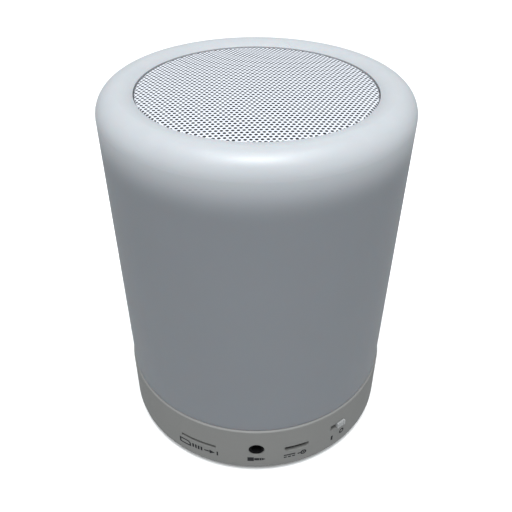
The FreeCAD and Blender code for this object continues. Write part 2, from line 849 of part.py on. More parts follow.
def speaker_motor():
    """The magnet, its plates and the coil that moves in their gap."""
    keep(ring("FrontPlate", d.plate_bore, d.plate_radius, plate_bottom, d.plate_thick),
         "front_plate")
    keep(ring("Magnet", d.magnet_bore, d.magnet_radius, magnet_bottom, d.magnet_thick), "magnet")
    yoke_bottom = magnet_bottom - d.yoke_thick
    keep(lathe("Yoke", [
        (0, yoke_bottom),
        (d.plate_radius - 0.8, yoke_bottom),
        (d.plate_radius, yoke_bottom + 0.8),
        (d.plate_radius, magnet_bottom),
        (d.pole_radius, magnet_bottom),
        (d.pole_radius, d.plate_top - 0.2),
        (0, d.plate_top - 0.2),
    ]), "yoke")
    former_outer = d.coil_inner + d.former_wall
    keep(ring("CoilFormer", d.coil_inner, former_outer, d.former_bottom,
              d.former_top - d.former_bottom), "coil_former")
    keep(ring("VoiceCoil", former_outer, d.winding_radius, d.winding_bottom, d.winding_height),
         "voice_coil")


def speaker_basket():
    """The pressed basket, with windows in its slope, and its solder tags."""
    foot, slope_out = 14.2, 17.0
    outline = [
        (foot, d.plate_top),
        (slope_out, d.plate_top),
        (column_bore - 0.4, d.speaker_seat),
        (d.speaker_flange_radius, d.speaker_seat),
        (d.speaker_flange_radius, flange_top),
        (d.speaker_mouth, flange_top),
        (slope_out - 0.4, d.spider_ledge),
        (foot, d.spider_ledge),
    ]
    shell = lathe("BasketShell", outline)
    tools = []
    for index, bearing in enumerate(SPEAKER_BEARINGS):
        tools.append(rod(f"BasketHole{index}", d.screw_clearance, 4.0,
                         y=-d.speaker_screw_place, z=d.speaker_seat - 1, bearing=bearing))
    for index, bearing in enumerate(around(4)):
        tools.append(box(f"BasketWindow{index}", 12.0, 7.6, 3.6, y=-d.speaker_mouth - 1.5,
                         z=d.spider_ledge + 1.6, bearing=bearing))
    keep(cut("Basket", shell, tools), "speaker_basket")
    tag = box("TagStrip", d.tag_width, 1.2, 2.4, y=d.plate_radius + 0.05, z=plate_bottom + 0.05)
    eyes = [
        rod(f"TagEye{side}", 0.6, 4.0, x=side * d.tag_spacing, y=d.plate_radius + 3,
            z=plate_bottom + 1.2, facing_out=True)
        for side in (-1, 1)
    ]
    keep(cut("SolderTags", tag, eyes), "solder_tags")


def speaker_moving():
    """Cone, dust cap, surround and spider."""
    former_outer = d.coil_inner + d.former_wall
    neck_low, neck_high = d.former_top - 1.3, d.former_top - 0.7
    edge, rim_low = d.cone_edge_radius, d.cone_edge_height
    rim_top = rim_low + d.cone_thick
    keep(lathe("Cone", [
        (former_outer, neck_low),
        (former_outer + 0.5, neck_low),
        (former_outer + 0.5, neck_high),
        (edge - 1.0, rim_low),
        (edge, rim_low),
        (edge, rim_top),
        (edge - 1.2, rim_top),
        (former_outer, d.former_top - 0.1),
    ]), "speaker_cone")
    cap, rise, thick = d.dust_cap_radius, d.dust_cap_rise, d.surround_thick
    slope = (rim_top - (d.former_top - 0.1)) / (edge - 1.2 - former_outer)
    seat = d.former_top - 0.1 + (cap - former_outer) * slope + 0.12
    dome = (cap * cap + rise * rise) / (2 * rise)
    keep(lathe("DustCap", [
        (0, seat + rise - thick, -(dome - thick)),
        (cap - thick, seat),
        (cap, seat, dome),
        (0, seat + rise),
    ]), "dust_cap")
    inner_land, roll = edge, d.roll_radius
    outer_land = inner_land + 2 * roll
    keep(lathe("Surround", [
        (inner_land - 1.2, rim_top),
        (inner_land, rim_top),
        (inner_land + thick, flange_top, -(roll - thick) * 1.0001),
        (outer_land - thick, flange_top),
        (outer_land + 1.8, flange_top),
        (outer_land + 1.8, flange_top + thick),
        (outer_land, flange_top + thick, roll * 1.03),
        (inner_land, rim_top + thick),
        (inner_land - 1.2, rim_top + thick),
    ]), "surround")
    keep(spider(), "spider")
    keep(ring("SpeakerGasket", outer_land + 0.3, outer_land + 1.8, flange_top + thick, 1.0),
         "speaker_gasket")
    screws("speaker_screws", flange_top, 5.4,
           [(bearing, d.speaker_screw_place) for bearing in SPEAKER_BEARINGS],
           head=d.speaker_screw_head)


def spider():
    """The corrugated disc that keeps the coil centred."""
    inner, outer = d.coil_inner + d.former_wall + 0.1, 16.2
    waves, height = 4, 0.6
    start, stop = inner + 0.8, 14.4
    pitch = (stop - start) / waves
    low = d.spider_ledge
    under = [(inner, low)]
    for wave in range(waves):
        crest = start + pitch * (wave + 0.5)
        under += [(start + pitch * wave, low), (crest, low + height)]
    under += [(stop * 1.0, low), (outer, low)]
    over = [(corner[0], corner[1] + d.spider_thick) for corner in reversed(under)]
    return lathe("Spider", under + over)


def circuit_board():
    """The round board in the base, its screws, and the parts on it that reach no port."""
    disc = ring("BoardDisc", 0, d.board_radius, board_bottom, d.board_thick)
    notches = []
    for index, bearing in enumerate(COVER_BEARINGS):
        notches.append(rod(f"Notch{index}", d.board_notch, 4.0,
                           y=-d.cover_boss_place, z=board_bottom - 1, bearing=bearing))
        notches.append(box(f"NotchMouth{index}", 2 * d.board_notch, 6.0, 4.0,
                           y=-d.cover_boss_place - 6.0, z=board_bottom - 1, bearing=bearing))
    for index, (bearing, place) in enumerate(BOARD_BOSSES):
        notches.append(rod(f"BoardHole{index}", d.board_screw_hole, 4.0, y=-place, z=board_bottom - 1,
                           bearing=bearing))
    keep(cut("MainBoard", disc, notches), "main_board")
    screws("board_screws", board_bottom, 5.4, BOARD_BOSSES,
           shank=d.board_screw_radius, head=d.board_screw_head, upright=False)

    top, (place, depth) = d.board_top, MODULE_PLACE
    module = box("ModuleBoard", d.module_width, d.module_length, d.module_thick,
                 x=place, y=depth, z=top)
    can = box("ModuleCan", d.module_width - 2, d.module_length - 5, d.module_can_tall,
              x=place, y=depth + 1, z=top + d.module_thick)
    keep(fuse("WirelessModule", [module, can]), "wireless_module")
    for name, label, width, depth, x, y in CHIPS:
        keep(chip(name, width, depth, d.chip_tall, x, y, 4), label)
    keep(group("Capacitors", [
        fuse(f"Capacitor{index}", [
            box(f"CapacitorFoot{index}", 2.1 * radius, 2.1 * radius, 0.8,
                x=x, y=y - 1.05 * radius, z=top),
            rod(f"CapacitorCan{index}", radius, tall, x=x, y=y, z=top),
        ])
        for index, (x, y, radius, tall) in enumerate(CAPACITORS)
    ]), "capacitors")
    side, (x, y) = d.inductor_side, INDUCTOR_PLACE
    coil = rod("InductorCore", side / 2 - 0.2, d.inductor_tall, x=x, y=y, z=top + 0.2)
    coil_base = box("InductorBase", side, side, 0.6, x=x, y=y - side / 2, z=top)
    keep(fuse("Inductor", [coil, coil_base]), "inductor")
    keep(group("ChipParts", [
        box(f"ChipPart{index}", d.chip_part_length, d.chip_part_width, d.chip_part_tall,
            x=x, y=y, z=top)
        for index, (x, y) in enumerate(CHIP_PARTS)
    ]), "chip_parts")


def chip(name, width, depth, height, x, y, legs):
    """A small moulded chip with a row of legs down each side."""
    top = d.board_top
    body = box(name + "Body", width, depth, height, x=x, y=y - depth / 2, z=top + 0.1)
    made = [body]
    for side in (-1, 1):
        for index in range(legs):
            along = y + (index - (legs - 1) / 2) * 1.27
            made.append(box(f"{name}Leg{side}_{index}", 1.2, 0.4, 0.5,
                            x=x + side * (width / 2 + 0.4), y=along - 0.2, z=top))
    return fuse(name, made)


def wire_sockets():
    """The side-entry sockets that the leads plug into."""
    made = []
    for index, (x, y, bearing) in enumerate(SOCKETS):
        body = box(f"SocketBody{index}", d.socket_width, d.socket_depth, d.socket_tall,
                   z=d.board_top)
        mouth = box(f"SocketMouth{index}", d.socket_width - 1.2, 1.2, d.socket_tall - 1.6,
                    y=-0.2, z=d.board_top + 0.8)
        one = cut(f"Socket{index}", body, [mouth])
        one.Placement = Placement(Vector(x, y, 0), Rotation(Vector(0, 0, 1), bearing))
        made.append(one)
    keep(group("WireSockets", made), "wire_sockets")


# Where each lead's socket stands on the board, and the bearing its mouth faces.
SOCKETS = [(7.0, 17.5, -90.0), (-7.0, 17.5, 90.0), (24.0, 2.0, 90.0), (-28.0, -8.0, -90.0)]


def input_jack():
    """The round audio input: a block on the board, with a nozzle in the wall's window."""
    block = box("JackBlock", d.jack_width, d.jack_length, d.jack_tall,
                y=-d.jack_front, z=d.board_top)
    nozzle = rod("JackNozzle", d.jack_nozzle_radius, d.jack_nozzle_front - d.jack_front + 1.0,
                 y=-d.jack_front + 1.0, z=d.jack_height, facing_out=True)
    bore = rod("JackBore", d.jack_bore, d.jack_bore_depth,
               y=-d.jack_nozzle_front + d.jack_bore_depth, z=d.jack_height, facing_out=True)
    jack = cut("InputJack", fuse("JackSolid", [block, nozzle]), [bore])
    jack.Placement = turned(d.jack_bearing)
    keep(jack, "input_jack")


def charging_socket():
    """The charging socket: a folded metal shell round a plastic tongue."""
    middle = d.board_top + d.charge_tall / 2
    outer = profile("ChargeOuter", plug_shape(d.charge_width, d.charge_tall, d.charge_chamfer),
                    d.charge_length, y=-d.charge_front, z=middle)
    inner = profile("ChargeInner",
                    plug_shape(d.charge_width - 2 * d.charge_sheet,
                               d.charge_tall - 2 * d.charge_sheet, d.charge_chamfer),
                    d.charge_length + 2, y=-d.charge_front - 1, z=middle)
    shell = cut("ChargeShell", outer, [inner])
    shell.Placement = turned(d.charge_bearing)
    keep(shell, "charging_shell")
    block = box("ChargeBlock", d.charge_width - 2.4, 1.2, d.charge_tall - 2 * d.charge_sheet,
                y=-d.charge_front + d.charge_length - 1.3, z=d.board_top + d.charge_sheet)
    tongue = box("ChargeTongueBlade", 3.7, d.charge_length - 1.8, 0.6,
                 y=-d.charge_front + 0.9, z=middle + 0.05)
    core = fuse("ChargeTongue", [block, tongue])
    core.Placement = turned(d.charge_bearing)
    keep(core, "charging_tongue")


def card_socket():
    """The memory card socket: a plastic base under a pressed metal cover."""
    cover = box("CardCover", d.card_width, d.card_length, d.card_tall,
                y=-d.card_front, z=d.board_top)
    hollow = box("CardHollow", d.card_width - 2 * d.card_sheet, d.card_length + 2,
                 d.card_tall - d.card_sheet, y=-d.card_front - 1, z=d.board_top)
    view = box("CardCoverHole", 5.0, 4.0, 2.0, y=-d.card_front + 6.0, z=d.board_top + 1.0)
    shell = cut("CardShell", cover, [hollow, view])
    shell.Placement = turned(d.card_bearing)
    keep(shell, "card_shell")
    floor = box("CardFloor", d.card_width - 2 * d.card_sheet - 0.1, d.card_length - 0.4,
                d.card_base_thick, y=-d.card_front + 0.2, z=d.board_top)
    back = box("CardBack", d.card_width - 2 * d.card_sheet - 0.1, 1.0,
               d.card_tall - d.card_sheet - 0.05, y=-d.card_front + d.card_length - 1.2,
               z=d.board_top)
    base = fuse("CardBase", [floor, back])
    base.Placement = turned(d.card_bearing)
    keep(base, "card_base")


def slide_switch():
    """The power switch: a metal-cased body and the knob that slides in the wall's window."""
    body = box("SlideBody", d.slide_body_width, d.slide_body_depth, d.slide_body_tall,
               y=-d.slide_front, z=d.board_top)
    cavity = box("SlideCavity", d.slide_body_width - 1.2, d.slide_body_depth - 1.4, 3.4,
                 y=-d.slide_front + 0.7, z=d.slide_height - 1.7)
    slot = box("SlideSlot", d.slide_window_width + 0.4, 1.5, d.slide_window_height,
               y=-d.slide_front - 0.5, z=d.slide_height - d.slide_window_height / 2)
    case = cut("SlideCase", body, [cavity, slot])
    case.Placement = turned(d.slide_bearing)
    keep(case, "switch_body")
    front, back = d.slide_knob_front, d.slide_front
    knob_length = front - back + 1.2
    finger = box("KnobFinger", d.slide_knob_width, knob_length, d.slide_knob_tall,
                 x=d.slide_offset, y=-front, z=d.slide_height - d.slide_knob_tall / 2)
    foot = box("KnobFoot", d.slide_knob_width + 0.8, 1.8, 2.8, x=d.slide_offset,
               y=-back + 1.0, z=d.slide_height - 1.4)
    groove = [
        box(f"KnobGroove{index}", 0.35, 0.6, 3.0,
            x=d.slide_offset.value + (index - 1) * 0.9, y=-front - 0.3, z=d.slide_height - 1.5)
        for index in range(3)
    ]
    knob = cut("SwitchKnob", fuse("KnobSolid", [finger, foot]), groove)
    knob.Placement = turned(d.slide_bearing)
    keep(knob, "switch_knob")


def keys():
    """The four push keys at the back, and the board switches behind them."""
    bodies = []
    for name, bearing in zip(KEYS, KEY_BEARINGS):
        title = name.title()
        deep = 10.0
        cap = profile(f"{title}Cap", oval(d.key_width, d.key_tall), deep,
                      y=-d.key_front - 1, z=d.key_height, bearing=bearing)
        cap_band = ring(f"{title}CapBand", d.key_flange_back, d.key_front,
                        d.key_height - 4, 8.0)
        margin = 2 * d.key_flange_margin
        lip = profile(f"{title}Lip", oval(d.key_width + margin, d.key_tall + margin), deep,
                      y=-d.key_front - 1, z=d.key_height, bearing=bearing)
        lip_band = ring(f"{title}LipBand", d.key_flange_back, d.key_flange_front,
                        d.key_height - 4, 8.0)
        stem = rod(f"{title}Stem", d.key_stem_radius, d.key_flange_back - d.key_stem_back + 0.5,
                   y=-d.key_stem_back, z=d.key_height, bearing=bearing, facing_out=True)
        keep(fuse(f"{title}Key", [
            common(f"{title}CapCurve", cap, cap_band),
            common(f"{title}LipCurve", lip, lip_band),
            stem,
        ]), f"{name}_key")
        keep(rod(f"{title}Plunger", d.plunger_radius, d.key_stem_back - d.plunger_back,
                 y=-d.plunger_back, z=d.key_height, bearing=bearing, facing_out=True),
             f"{name}_plunger")
        block = box(f"{title}TactBlock", d.tact_width, d.tact_depth, d.tact_tall,
                    y=-d.tact_front, z=d.board_top, bearing=bearing)
        hole = rod(f"{title}TactBore", d.plunger_bore,
                   d.tact_front - d.plunger_bore_back + 0.5, y=-d.plunger_bore_back,
                   z=d.key_height, bearing=bearing, facing_out=True)
        bodies.append(cut(f"{title}Tact", block, [hole]))
    keep(group("KeySwitches", bodies), "key_switches")


def microphone():
    """The speech microphone behind its pinhole."""
    keep(rod("Microphone", d.mic_radius, d.mic_length, y=-d.mic_front + d.mic_length,
             z=d.mic_height, bearing=d.mic_bearing, facing_out=True), "microphone")


def lead(name, points, radius=None):
    """A round lead along straight runs joined by tangent arcs, with its length printed."""
    radius = number(radius or d.lead_radius)
    bend = number(d.lead_bend)
    points = [Vector(*(number(value) for value in point)) for point in points]
    edges, start = [], points[0]
    for before, corner, after in zip(points, points[1:], points[2:]):
        into, out = (corner - before).normalize(), (after - corner).normalize()
        half = into.getAngle(out) / 2
        shorter = min((corner - before).Length, (after - corner).Length)
        reach = min(bend * math.tan(half), 0.45 * shorter)
        turn = reach / math.tan(half)
        first, last = corner - into * reach, corner + out * reach
        aim = (out - into).normalize()
        middle = corner + aim * (turn / math.cos(half) - turn)
        edges += [Part.LineSegment(start, first).toShape(), Part.Arc(first, middle, last).toShape()]
        start = last
    edges.append(Part.LineSegment(start, points[-1]).toShape())
    route = Part.Wire(edges)
    along = (points[1] - points[0]).normalize()
    section = Part.Wire([Part.Circle(points[0], along, radius).toShape()])
    tube = route.makePipeShell([section], True, False)
    expected = math.pi * radius**2 * route.Length
    if abs(tube.Volume - expected) > 0.02 * expected:
        raise ValueError(f"{name} doesn't hold its section times its length")
    feature = doc.addObject("Part::Feature", name)
    feature.Shape = tube
    feature.Placement = Placement()
    print(f"{name}: {route.Length:.1f} mm long")
    return feature


def leads():
    """The insulated leads, each along the way it takes from its part to its socket."""
    hole, mid = d.wire_hole_place, d.board_top + 2.2
    tag_out, tag_low = d.plate_radius + 2.1, plate_bottom + 1.2
    speaker = [
        lead(f"SpeakerLead{index}", [
            (side * d.tag_spacing, tag_out, tag_low),
            (side * d.tag_spacing, tag_out, magnet_bottom - 1.0),
            (1.0 + index * 1.5, hole + 0.6, magnet_bottom - 5.5),
            (1.0 + index * 1.5, hole + 0.6, mid),
            (6.8, hole + 0.6 + index * 1.5, mid),
        ])
        for index, side in enumerate((-1, 1))
    ]
    keep(group("SpeakerLeads", speaker), "speaker_leads")
    board_top = d.cell_bottom + d.cell_height + d.cell_board_thick
    cell = [
        lead(f"CellLead{index}", [
            (-1.0 - index * 1.5, 3.0, board_top),
            (-1.0 - index * 1.5, 3.0, board_top + 1.5),
            (-1.0 - index * 1.5, hole - 1.6, board_top + 1.5),
            (-1.0 - index * 1.5, hole - 1.6, mid),
            (-6.8, hole - 1.6 + index * 1.5, mid),
        ])
        for index in range(2)
    ]
    keep(group("CellLeads", cell), "cell_leads")
    touch = turned(d.touch_wire_bearing, 0, -d.touch_wire_place).Base
    top = d.grille_top - d.grille_rise - 0.9
    keep(lead("TouchLead", [
        (touch.x, touch.y, top),
        (touch.x, touch.y, mid),
        (28.0, 10.0, mid),
        (28.0, 2.0, mid),
        (24.2, 2.0, mid),
    ]), "touch_lead")
    solder = rod("TouchSolder", 1.4, 0.35, x=touch.x, y=touch.y, z=top)
    keep(solder, "touch_solder")
    way_in = turned(d.lamp_wire_bearing, 0, -d.lamp_wire_place).Base
    lamp_leads = [
        lead(f"LampLead{index}", [
            (way_in.x, way_in.y + shift, lamp_board_top),
            (way_in.x, way_in.y + shift, mid),
            (-28.2, -8.0 + shift, mid),
        ])
        for index, shift in enumerate((-1.5, 0.0, 1.5))
    ]
    keep(group("LampLeads", lamp_leads), "lamp_leads")


def check_and_write():
    """Checks every object, then writes each piece's shape to its own file."""
    doc.recompute()
    for feature in doc.Objects:
        if "Invalid" in feature.State or "Error" in feature.State:
            raise RuntimeError(f"{feature.Name} failed: {feature.State}")
    os.makedirs("parts", exist_ok=True)
    for feature in pieces:
        shape = feature.Shape
        if shape.isNull() or not shape.isValid() or shape.Volume <= 0:
            raise RuntimeError(f"{feature.Label} isn't a valid shape")
        shape.exportStep(os.path.join("parts", feature.Label + ".step"))
    print(f"{len(pieces)} pieces written")


base_ring()
bottom()
shade()
grille()
column()
lamp()
battery()
speaker_motor()
speaker_basket()
speaker_moving()
circuit_board()
wire_sockets()
input_jack()
charging_socket()
card_socket()
slide_switch()
keys()
microphone()
leads()
check_and_write()
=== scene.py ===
"""Looks of a touch-lamp wireless audio receiver, built round its CAD frame.

Everything is in metres in the frame's own axes: +Z up, the ports facing -Y, the foot on Z = 0.
A bearing is an angle about Z from the front, in degrees, positive towards +X.
"""

import enum
import logging
import math
from dataclasses import dataclass, field
from typing import Callable, Iterable, Optional, Sequence

import bmesh
import bpy
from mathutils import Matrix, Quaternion, Vector
from mathutils.geometry import delaunay_2d_cdt, tessellate_polygon


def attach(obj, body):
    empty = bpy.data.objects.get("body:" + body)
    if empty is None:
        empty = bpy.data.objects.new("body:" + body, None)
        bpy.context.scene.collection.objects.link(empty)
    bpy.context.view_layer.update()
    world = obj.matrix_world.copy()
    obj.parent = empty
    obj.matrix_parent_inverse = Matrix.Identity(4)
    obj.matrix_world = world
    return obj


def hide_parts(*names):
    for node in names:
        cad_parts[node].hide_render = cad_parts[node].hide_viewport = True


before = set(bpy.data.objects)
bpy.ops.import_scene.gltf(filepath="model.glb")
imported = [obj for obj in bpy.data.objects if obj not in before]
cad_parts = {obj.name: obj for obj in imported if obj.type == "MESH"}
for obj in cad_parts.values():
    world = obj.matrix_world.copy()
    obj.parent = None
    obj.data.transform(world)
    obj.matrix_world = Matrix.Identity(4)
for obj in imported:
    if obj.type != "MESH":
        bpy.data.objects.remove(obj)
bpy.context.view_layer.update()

LOG = logging.getLogger("receiver")
MM = 0.001
RECEIVER = "receiver"  # the body that everything but the switch, the keys and the cone rides on

Colour = tuple[float, float, float]
Place = tuple[float, float, float]
Flat = tuple[float, float]
Socket = bpy.types.NodeSocket


# ---------------------------------------------------------------------------------- node graphs


class Graph:
    """A small helper that adds nodes to a tree and joins them."""

    def __init__(self, tree: bpy.types.NodeTree) -> None:
        """Takes the tree to build in."""
        self.tree = tree

    def add(self, kind: str, **settings: object) -> bpy.types.Node:
        """Adds a node and sets its properties.

        Args:
            kind: the node's type, without the ShaderNode prefix.
            settings: properties of the node, by name.

        Returns:
            The new node.
        """
        node = self.tree.nodes.new("ShaderNode" + kind)
        for name, value in settings.items():
            setattr(node, name, value)
        return node

    def feed(self, node: bpy.types.Node, **inputs: object) -> bpy.types.Node:
        """Sets or links a node's inputs, each named with underscores for spaces.

        Args:
            node: the node to feed.
            inputs: a socket to link from, or a plain value.

        Returns:
            The same node.
        """
        for name, value in inputs.items():
            socket = node.inputs[name.replace("_", " ")]
            if isinstance(value, bpy.types.NodeSocket):
                self.tree.links.new(value, socket)
            else:
                socket.default_value = value
        return node

    def maths(self, operation: str, *values: object) -> Socket:
        """Joins up to three values or sockets with a Math node and returns its result."""
        node = self.add("Math", operation=operation)
        for socket, value in zip(node.inputs, values):
            if isinstance(value, bpy.types.NodeSocket):
                self.tree.links.new(value, socket)
            else:
                socket.default_value = value
        return node.outputs[0]

    def span(self, value: Socket, low: float, high: float, out_low: float, out_high: float) -> Socket:
        """Maps a value from one span to another, held within it, and returns the result."""
        node = self.add("MapRange")
        self.feed(node, Value=value, From_Min=low, From_Max=high, To_Min=out_low, To_Max=out_high)
        return node.outputs["Result"]

    def blend(self, factor: object, first: object, second: object, how: str = "MIX") -> Socket:
        """Mixes two colours and returns the result.

        Args:
            factor: how much of the second colour, as a value or a socket.
            first: the first colour, as a value or a socket.
            second: the second colour, as a value or a socket.
            how: the mix node's blend type.

        Returns:
            The mixed colour's socket.
        """
        node = self.add("Mix", data_type="RGBA", blend_type=how)
        for index, value in ((0, factor), (6, first), (7, second)):
            if isinstance(value, bpy.types.NodeSocket):
                self.tree.links.new(value, node.inputs[index])
            else:
                node.inputs[index].default_value = value
        return node.outputs[2]

    def toned(self, colour: object, tone: Socket) -> Socket:
        """A colour made lighter or darker by a tone, where 1 leaves it as it is."""
        grey = self.add("CombineColor")
        self.feed(grey, Red=tone, Green=tone, Blue=tone)
        return self.blend(1.0, colour, grey.outputs[0], "MULTIPLY")

    def noise(self, scale: object, detail: float = 2.0, along: Optional[Socket] = None) -> Socket:
        """A noise value over the object's own coordinates, or along given ones."""
        node = self.add("TexNoise")
        self.feed(node, Vector=along or self.place(), Scale=scale, Detail=detail)
        return node.outputs[0]

    def place(self) -> Socket:
        """The object's own coordinates."""
        return self.add("TexCoord").outputs["Object"]

    def stretched(self, factors: Colour) -> Socket:
        """The object's own coordinates, stretched by a factor along each axis."""
        node = self.add("VectorMath", operation="MULTIPLY")
        self.tree.links.new(self.place(), node.inputs[0])
        node.inputs[1].default_value = factors
        return node.outputs[0]


class EffectGroup:
    """A shader node group with named inputs and outputs, built once and used by many materials."""

    def __init__(
        self,
        name: str,
        inputs: Sequence[tuple[str, str, object]],
        outputs: Sequence[tuple[str, str]],
        build: Callable[[Graph, dict[str, Socket]], dict[str, Socket]],
    ) -> None:
        """Builds the group.

        Args:
            name: the group's name.
            inputs: name, kind (Color or Float) and default of each input.
            outputs: name and kind of each output.
            build: makes the nodes, from the inputs' sockets to the outputs' sockets.
        """
        self.tree = bpy.data.node_groups.new(name, "ShaderNodeTree")
        for label, kind, default in inputs:
            socket = self.tree.interface.new_socket(
                name=label, in_out="INPUT", socket_type="NodeSocket" + kind
            )
            socket.default_value = default
        for label, kind in outputs:
            self.tree.interface.new_socket(
                name=label, in_out="OUTPUT", socket_type="NodeSocket" + kind
            )
        entry = self.tree.nodes.new("NodeGroupInput")
        leave = self.tree.nodes.new("NodeGroupOutput")
        made = build(Graph(self.tree), {label: entry.outputs[label] for label, _, _ in inputs})
        for label, socket in made.items():
            self.tree.links.new(socket, leave.inputs[label])

    def use(self, graph: Graph, **inputs: object) -> dict[str, Socket]:
        """Places the group in a material.

        Args:
            graph: the material's graph.
            inputs: values or sockets, each named with underscores for spaces.

        Returns:
            The group's outputs, by name.
        """
        node = graph.add("Group")
        node.node_tree = self.tree
        graph.feed(node, **inputs)
        return {socket.name: socket for socket in node.outputs}


WHITE = (1.0, 1.0, 1.0, 1.0)
DUST = (0.78, 0.76, 0.72, 1.0)
TARNISH = (0.72, 0.68, 0.62, 1.0)
TINNED_PAD = (0.72, 0.70, 0.62, 1.0)

# How many times a metre each pattern repeats, more or less, one number for each axis where they differ.
CLOUDS = 55.0
EDGE_WEAR_AND_HIGHLIGHT_SPOTS = 900.0
DUST_PATCHES = 180.0
DUST_SPECKS = 2600.0
TARNISH_PATCHES = 240.0
DRAWN_LINES = (900.0, 900.0, 9000.0)
FIBRES_ALONG_X = (600.0, 2400.0, 1200.0)
FIBRES_ALONG_Y = (2400.0, 600.0, 1200.0)


def build_moulded_grain(graph: Graph, given: dict[str, Socket]) -> dict[str, Socket]:
    """Cloudy tone and a fine spark-eroded grain, as on moulded plastic."""
    cloud = graph.noise(CLOUDS, 3.0)
    grain = graph.noise(given["Grain"], 2.0)
    tone = graph.maths("MULTIPLY_ADD", graph.maths("SUBTRACT", cloud, 0.5), given["Spread"], 1.0)
    uneven = graph.maths("SUBTRACT", grain, 0.5)
    rough = graph.maths("MULTIPLY_ADD", uneven, given["Rough Spread"], given["Roughness"])
    return {"Colour": graph.toned(given["Colour"], tone), "Roughness": rough, "Height": grain}


def build_softened_edge(graph: Graph, given: dict[str, Socket]) -> dict[str, Socket]:
    """A rounded normal at sharp edges, and a lighter colour along them, partly rubbed wear and partly a
    painted highlight.
    """
    bevel = graph.add("Bevel", samples=6)
    graph.feed(bevel, Radius=given["Radius"])
    flat = graph.add("NewGeometry")
    dot = graph.add("VectorMath", operation="DOT_PRODUCT")
    graph.tree.links.new(bevel.outputs[0], dot.inputs[0])
    graph.tree.links.new(flat.outputs["Normal"], dot.inputs[1])
    turn = graph.maths("SUBTRACT", 1.0, dot.outputs["Value"])
    broken = graph.span(graph.noise(EDGE_WEAR_AND_HIGHLIGHT_SPOTS, 2.0), 0.3, 0.7, 0.4, 1.0)
    mask = graph.maths("MULTIPLY", graph.span(turn, 0.02, 0.3, 0.0, 1.0), broken)
    # The lighter edge colour is partly a painted highlight, partly rubbed wear.
    amount = graph.maths("MULTIPLY", mask, given["Amount"])
    colour = graph.blend(amount, given["Colour"], given["Edge Colour"])
    return {"Colour": colour, "Normal": bevel.outputs[0]}


def build_settled_dust(graph: Graph, given: dict[str, Socket]) -> dict[str, Socket]:
    """Faint dust and handling haze on the faces that look up."""
    facing = graph.add("SeparateXYZ")
    graph.tree.links.new(graph.add("NewGeometry").outputs["Normal"], facing.inputs[0])
    upward = graph.span(facing.outputs["Z"], 0.2, 1.0, 0.0, 1.0)
    patches = graph.span(graph.noise(DUST_PATCHES, 4.0), 0.42, 0.7, 0.1, 1.0)
    specks = graph.span(graph.noise(DUST_SPECKS, 1.0), 0.66, 0.74, 0.0, 1.0)
    cover = graph.maths("MAXIMUM", graph.maths("MULTIPLY", patches, 0.5), specks)
    mask = graph.maths("MULTIPLY", graph.maths("MULTIPLY", upward, cover), given["Amount"])
    colour = graph.blend(mask, given["Colour"], DUST)
    rough = graph.maths("MULTIPLY_ADD", mask, 0.35, given["Roughness"])
    return {"Colour": colour, "Roughness": rough}


def build_rolled_metal(graph: Graph, given: dict[str, Socket]) -> dict[str, Socket]:
    """Fine drawn lines and tarnish, as on rolled and plated sheet."""
    lines = graph.noise(1.0, 3.0, graph.stretched(DRAWN_LINES))
    tarnish = graph.span(graph.noise(TARNISH_PATCHES, 3.0), 0.35, 0.75, 0.0, 1.0)
    dark = graph.blend(1.0, given["Colour"], TARNISH, "MULTIPLY")
    colour = graph.blend(graph.maths("MULTIPLY", tarnish, given["Tarnish"]), given["Colour"], dark)
    uneven = graph.maths("SUBTRACT", lines, 0.5)
    rough = graph.maths("MULTIPLY_ADD", uneven, given["Rough Spread"], given["Roughness"])
    return {"Colour": colour, "Roughness": rough, "Height": lines}


def build_printed_circuit(graph: Graph, given: dict[str, Socket]) -> dict[str, Socket]:
    """Copper tracks under a solder mask, with tinned pads."""
    cells = graph.add("TexVoronoi", feature="DISTANCE_TO_EDGE", voronoi_dimensions="2D")
    graph.feed(cells, Vector=graph.place(), Scale=given["Scale"], Randomness=0.55)
    track = graph.span(cells.outputs["Distance"], 0.05, 0.08, 1.0, 0.0)
    dots = graph.add("TexVoronoi", voronoi_dimensions="2D")
    graph.feed(dots, Vector=graph.place(), Scale=graph.maths("MULTIPLY", given["Scale"], 2.2))
    pad = graph.span(dots.outputs["Distance"], 0.14, 0.18, 1.0, 0.0)
    masked = graph.blend(track, given["Colour"], given["Track Colour"])
    colour = graph.blend(pad, masked, TINNED_PAD)
    height = graph.maths("MAXIMUM", track, pad)
    return {"Colour": colour, "Height": height}


def build_fibre(graph: Graph, given: dict[str, Socket]) -> dict[str, Socket]:
    """Crossing fibres, as in pulp, felt, foam and cloth."""
    first = graph.noise(1.0, 4.0, graph.stretched(FIBRES_ALONG_Y))
    second = graph.noise(1.0, 4.0, graph.stretched(FIBRES_ALONG_X))
    height = graph.maths("MAXIMUM", first, second)
    tone = graph.maths("MULTIPLY_ADD", graph.maths("SUBTRACT", height, 0.6), given["Spread"], 1.0)
    return {"Colour": graph.toned(given["Colour"], tone), "Height": height}


def build_wound_turns(graph: Graph, given: dict[str, Socket]) -> dict[str, Socket]:
    """Turns of wire lying side by side up a coil."""
    wave = graph.add("TexWave", bands_direction="Z")
    graph.feed(wave, Vector=graph.place(), Scale=given["Scale"])
    tone = graph.span(wave.outputs["Fac"], 0.0, 1.0, 0.55, 1.1)
    return {"Colour": graph.toned(given["Colour"], tone), "Height": wave.outputs["Fac"]}


def build_painted_light_fade(graph: Graph, given: dict[str, Socket]) -> dict[str, Socket]:
    """Painted light: one colour low down turning smoothly into another higher up, painting the upper part
    lighter as if more light fell there.
    """
    split = graph.add("SeparateXYZ")
    graph.tree.links.new(graph.place(), split.inputs[0])
    ramp = graph.add("MapRange", interpolation_type="SMOOTHERSTEP")
    graph.feed(ramp, Value=split.outputs["Z"], From_Min=given["Low"], From_Max=given["High"])
    return {"Colour": graph.blend(ramp.outputs["Result"], given["Colour"], given["High Colour"])}


COLOUR_IN = ("Colour", "Color", WHITE)
ROUGH_IN = ("Roughness", "Float", 0.5)

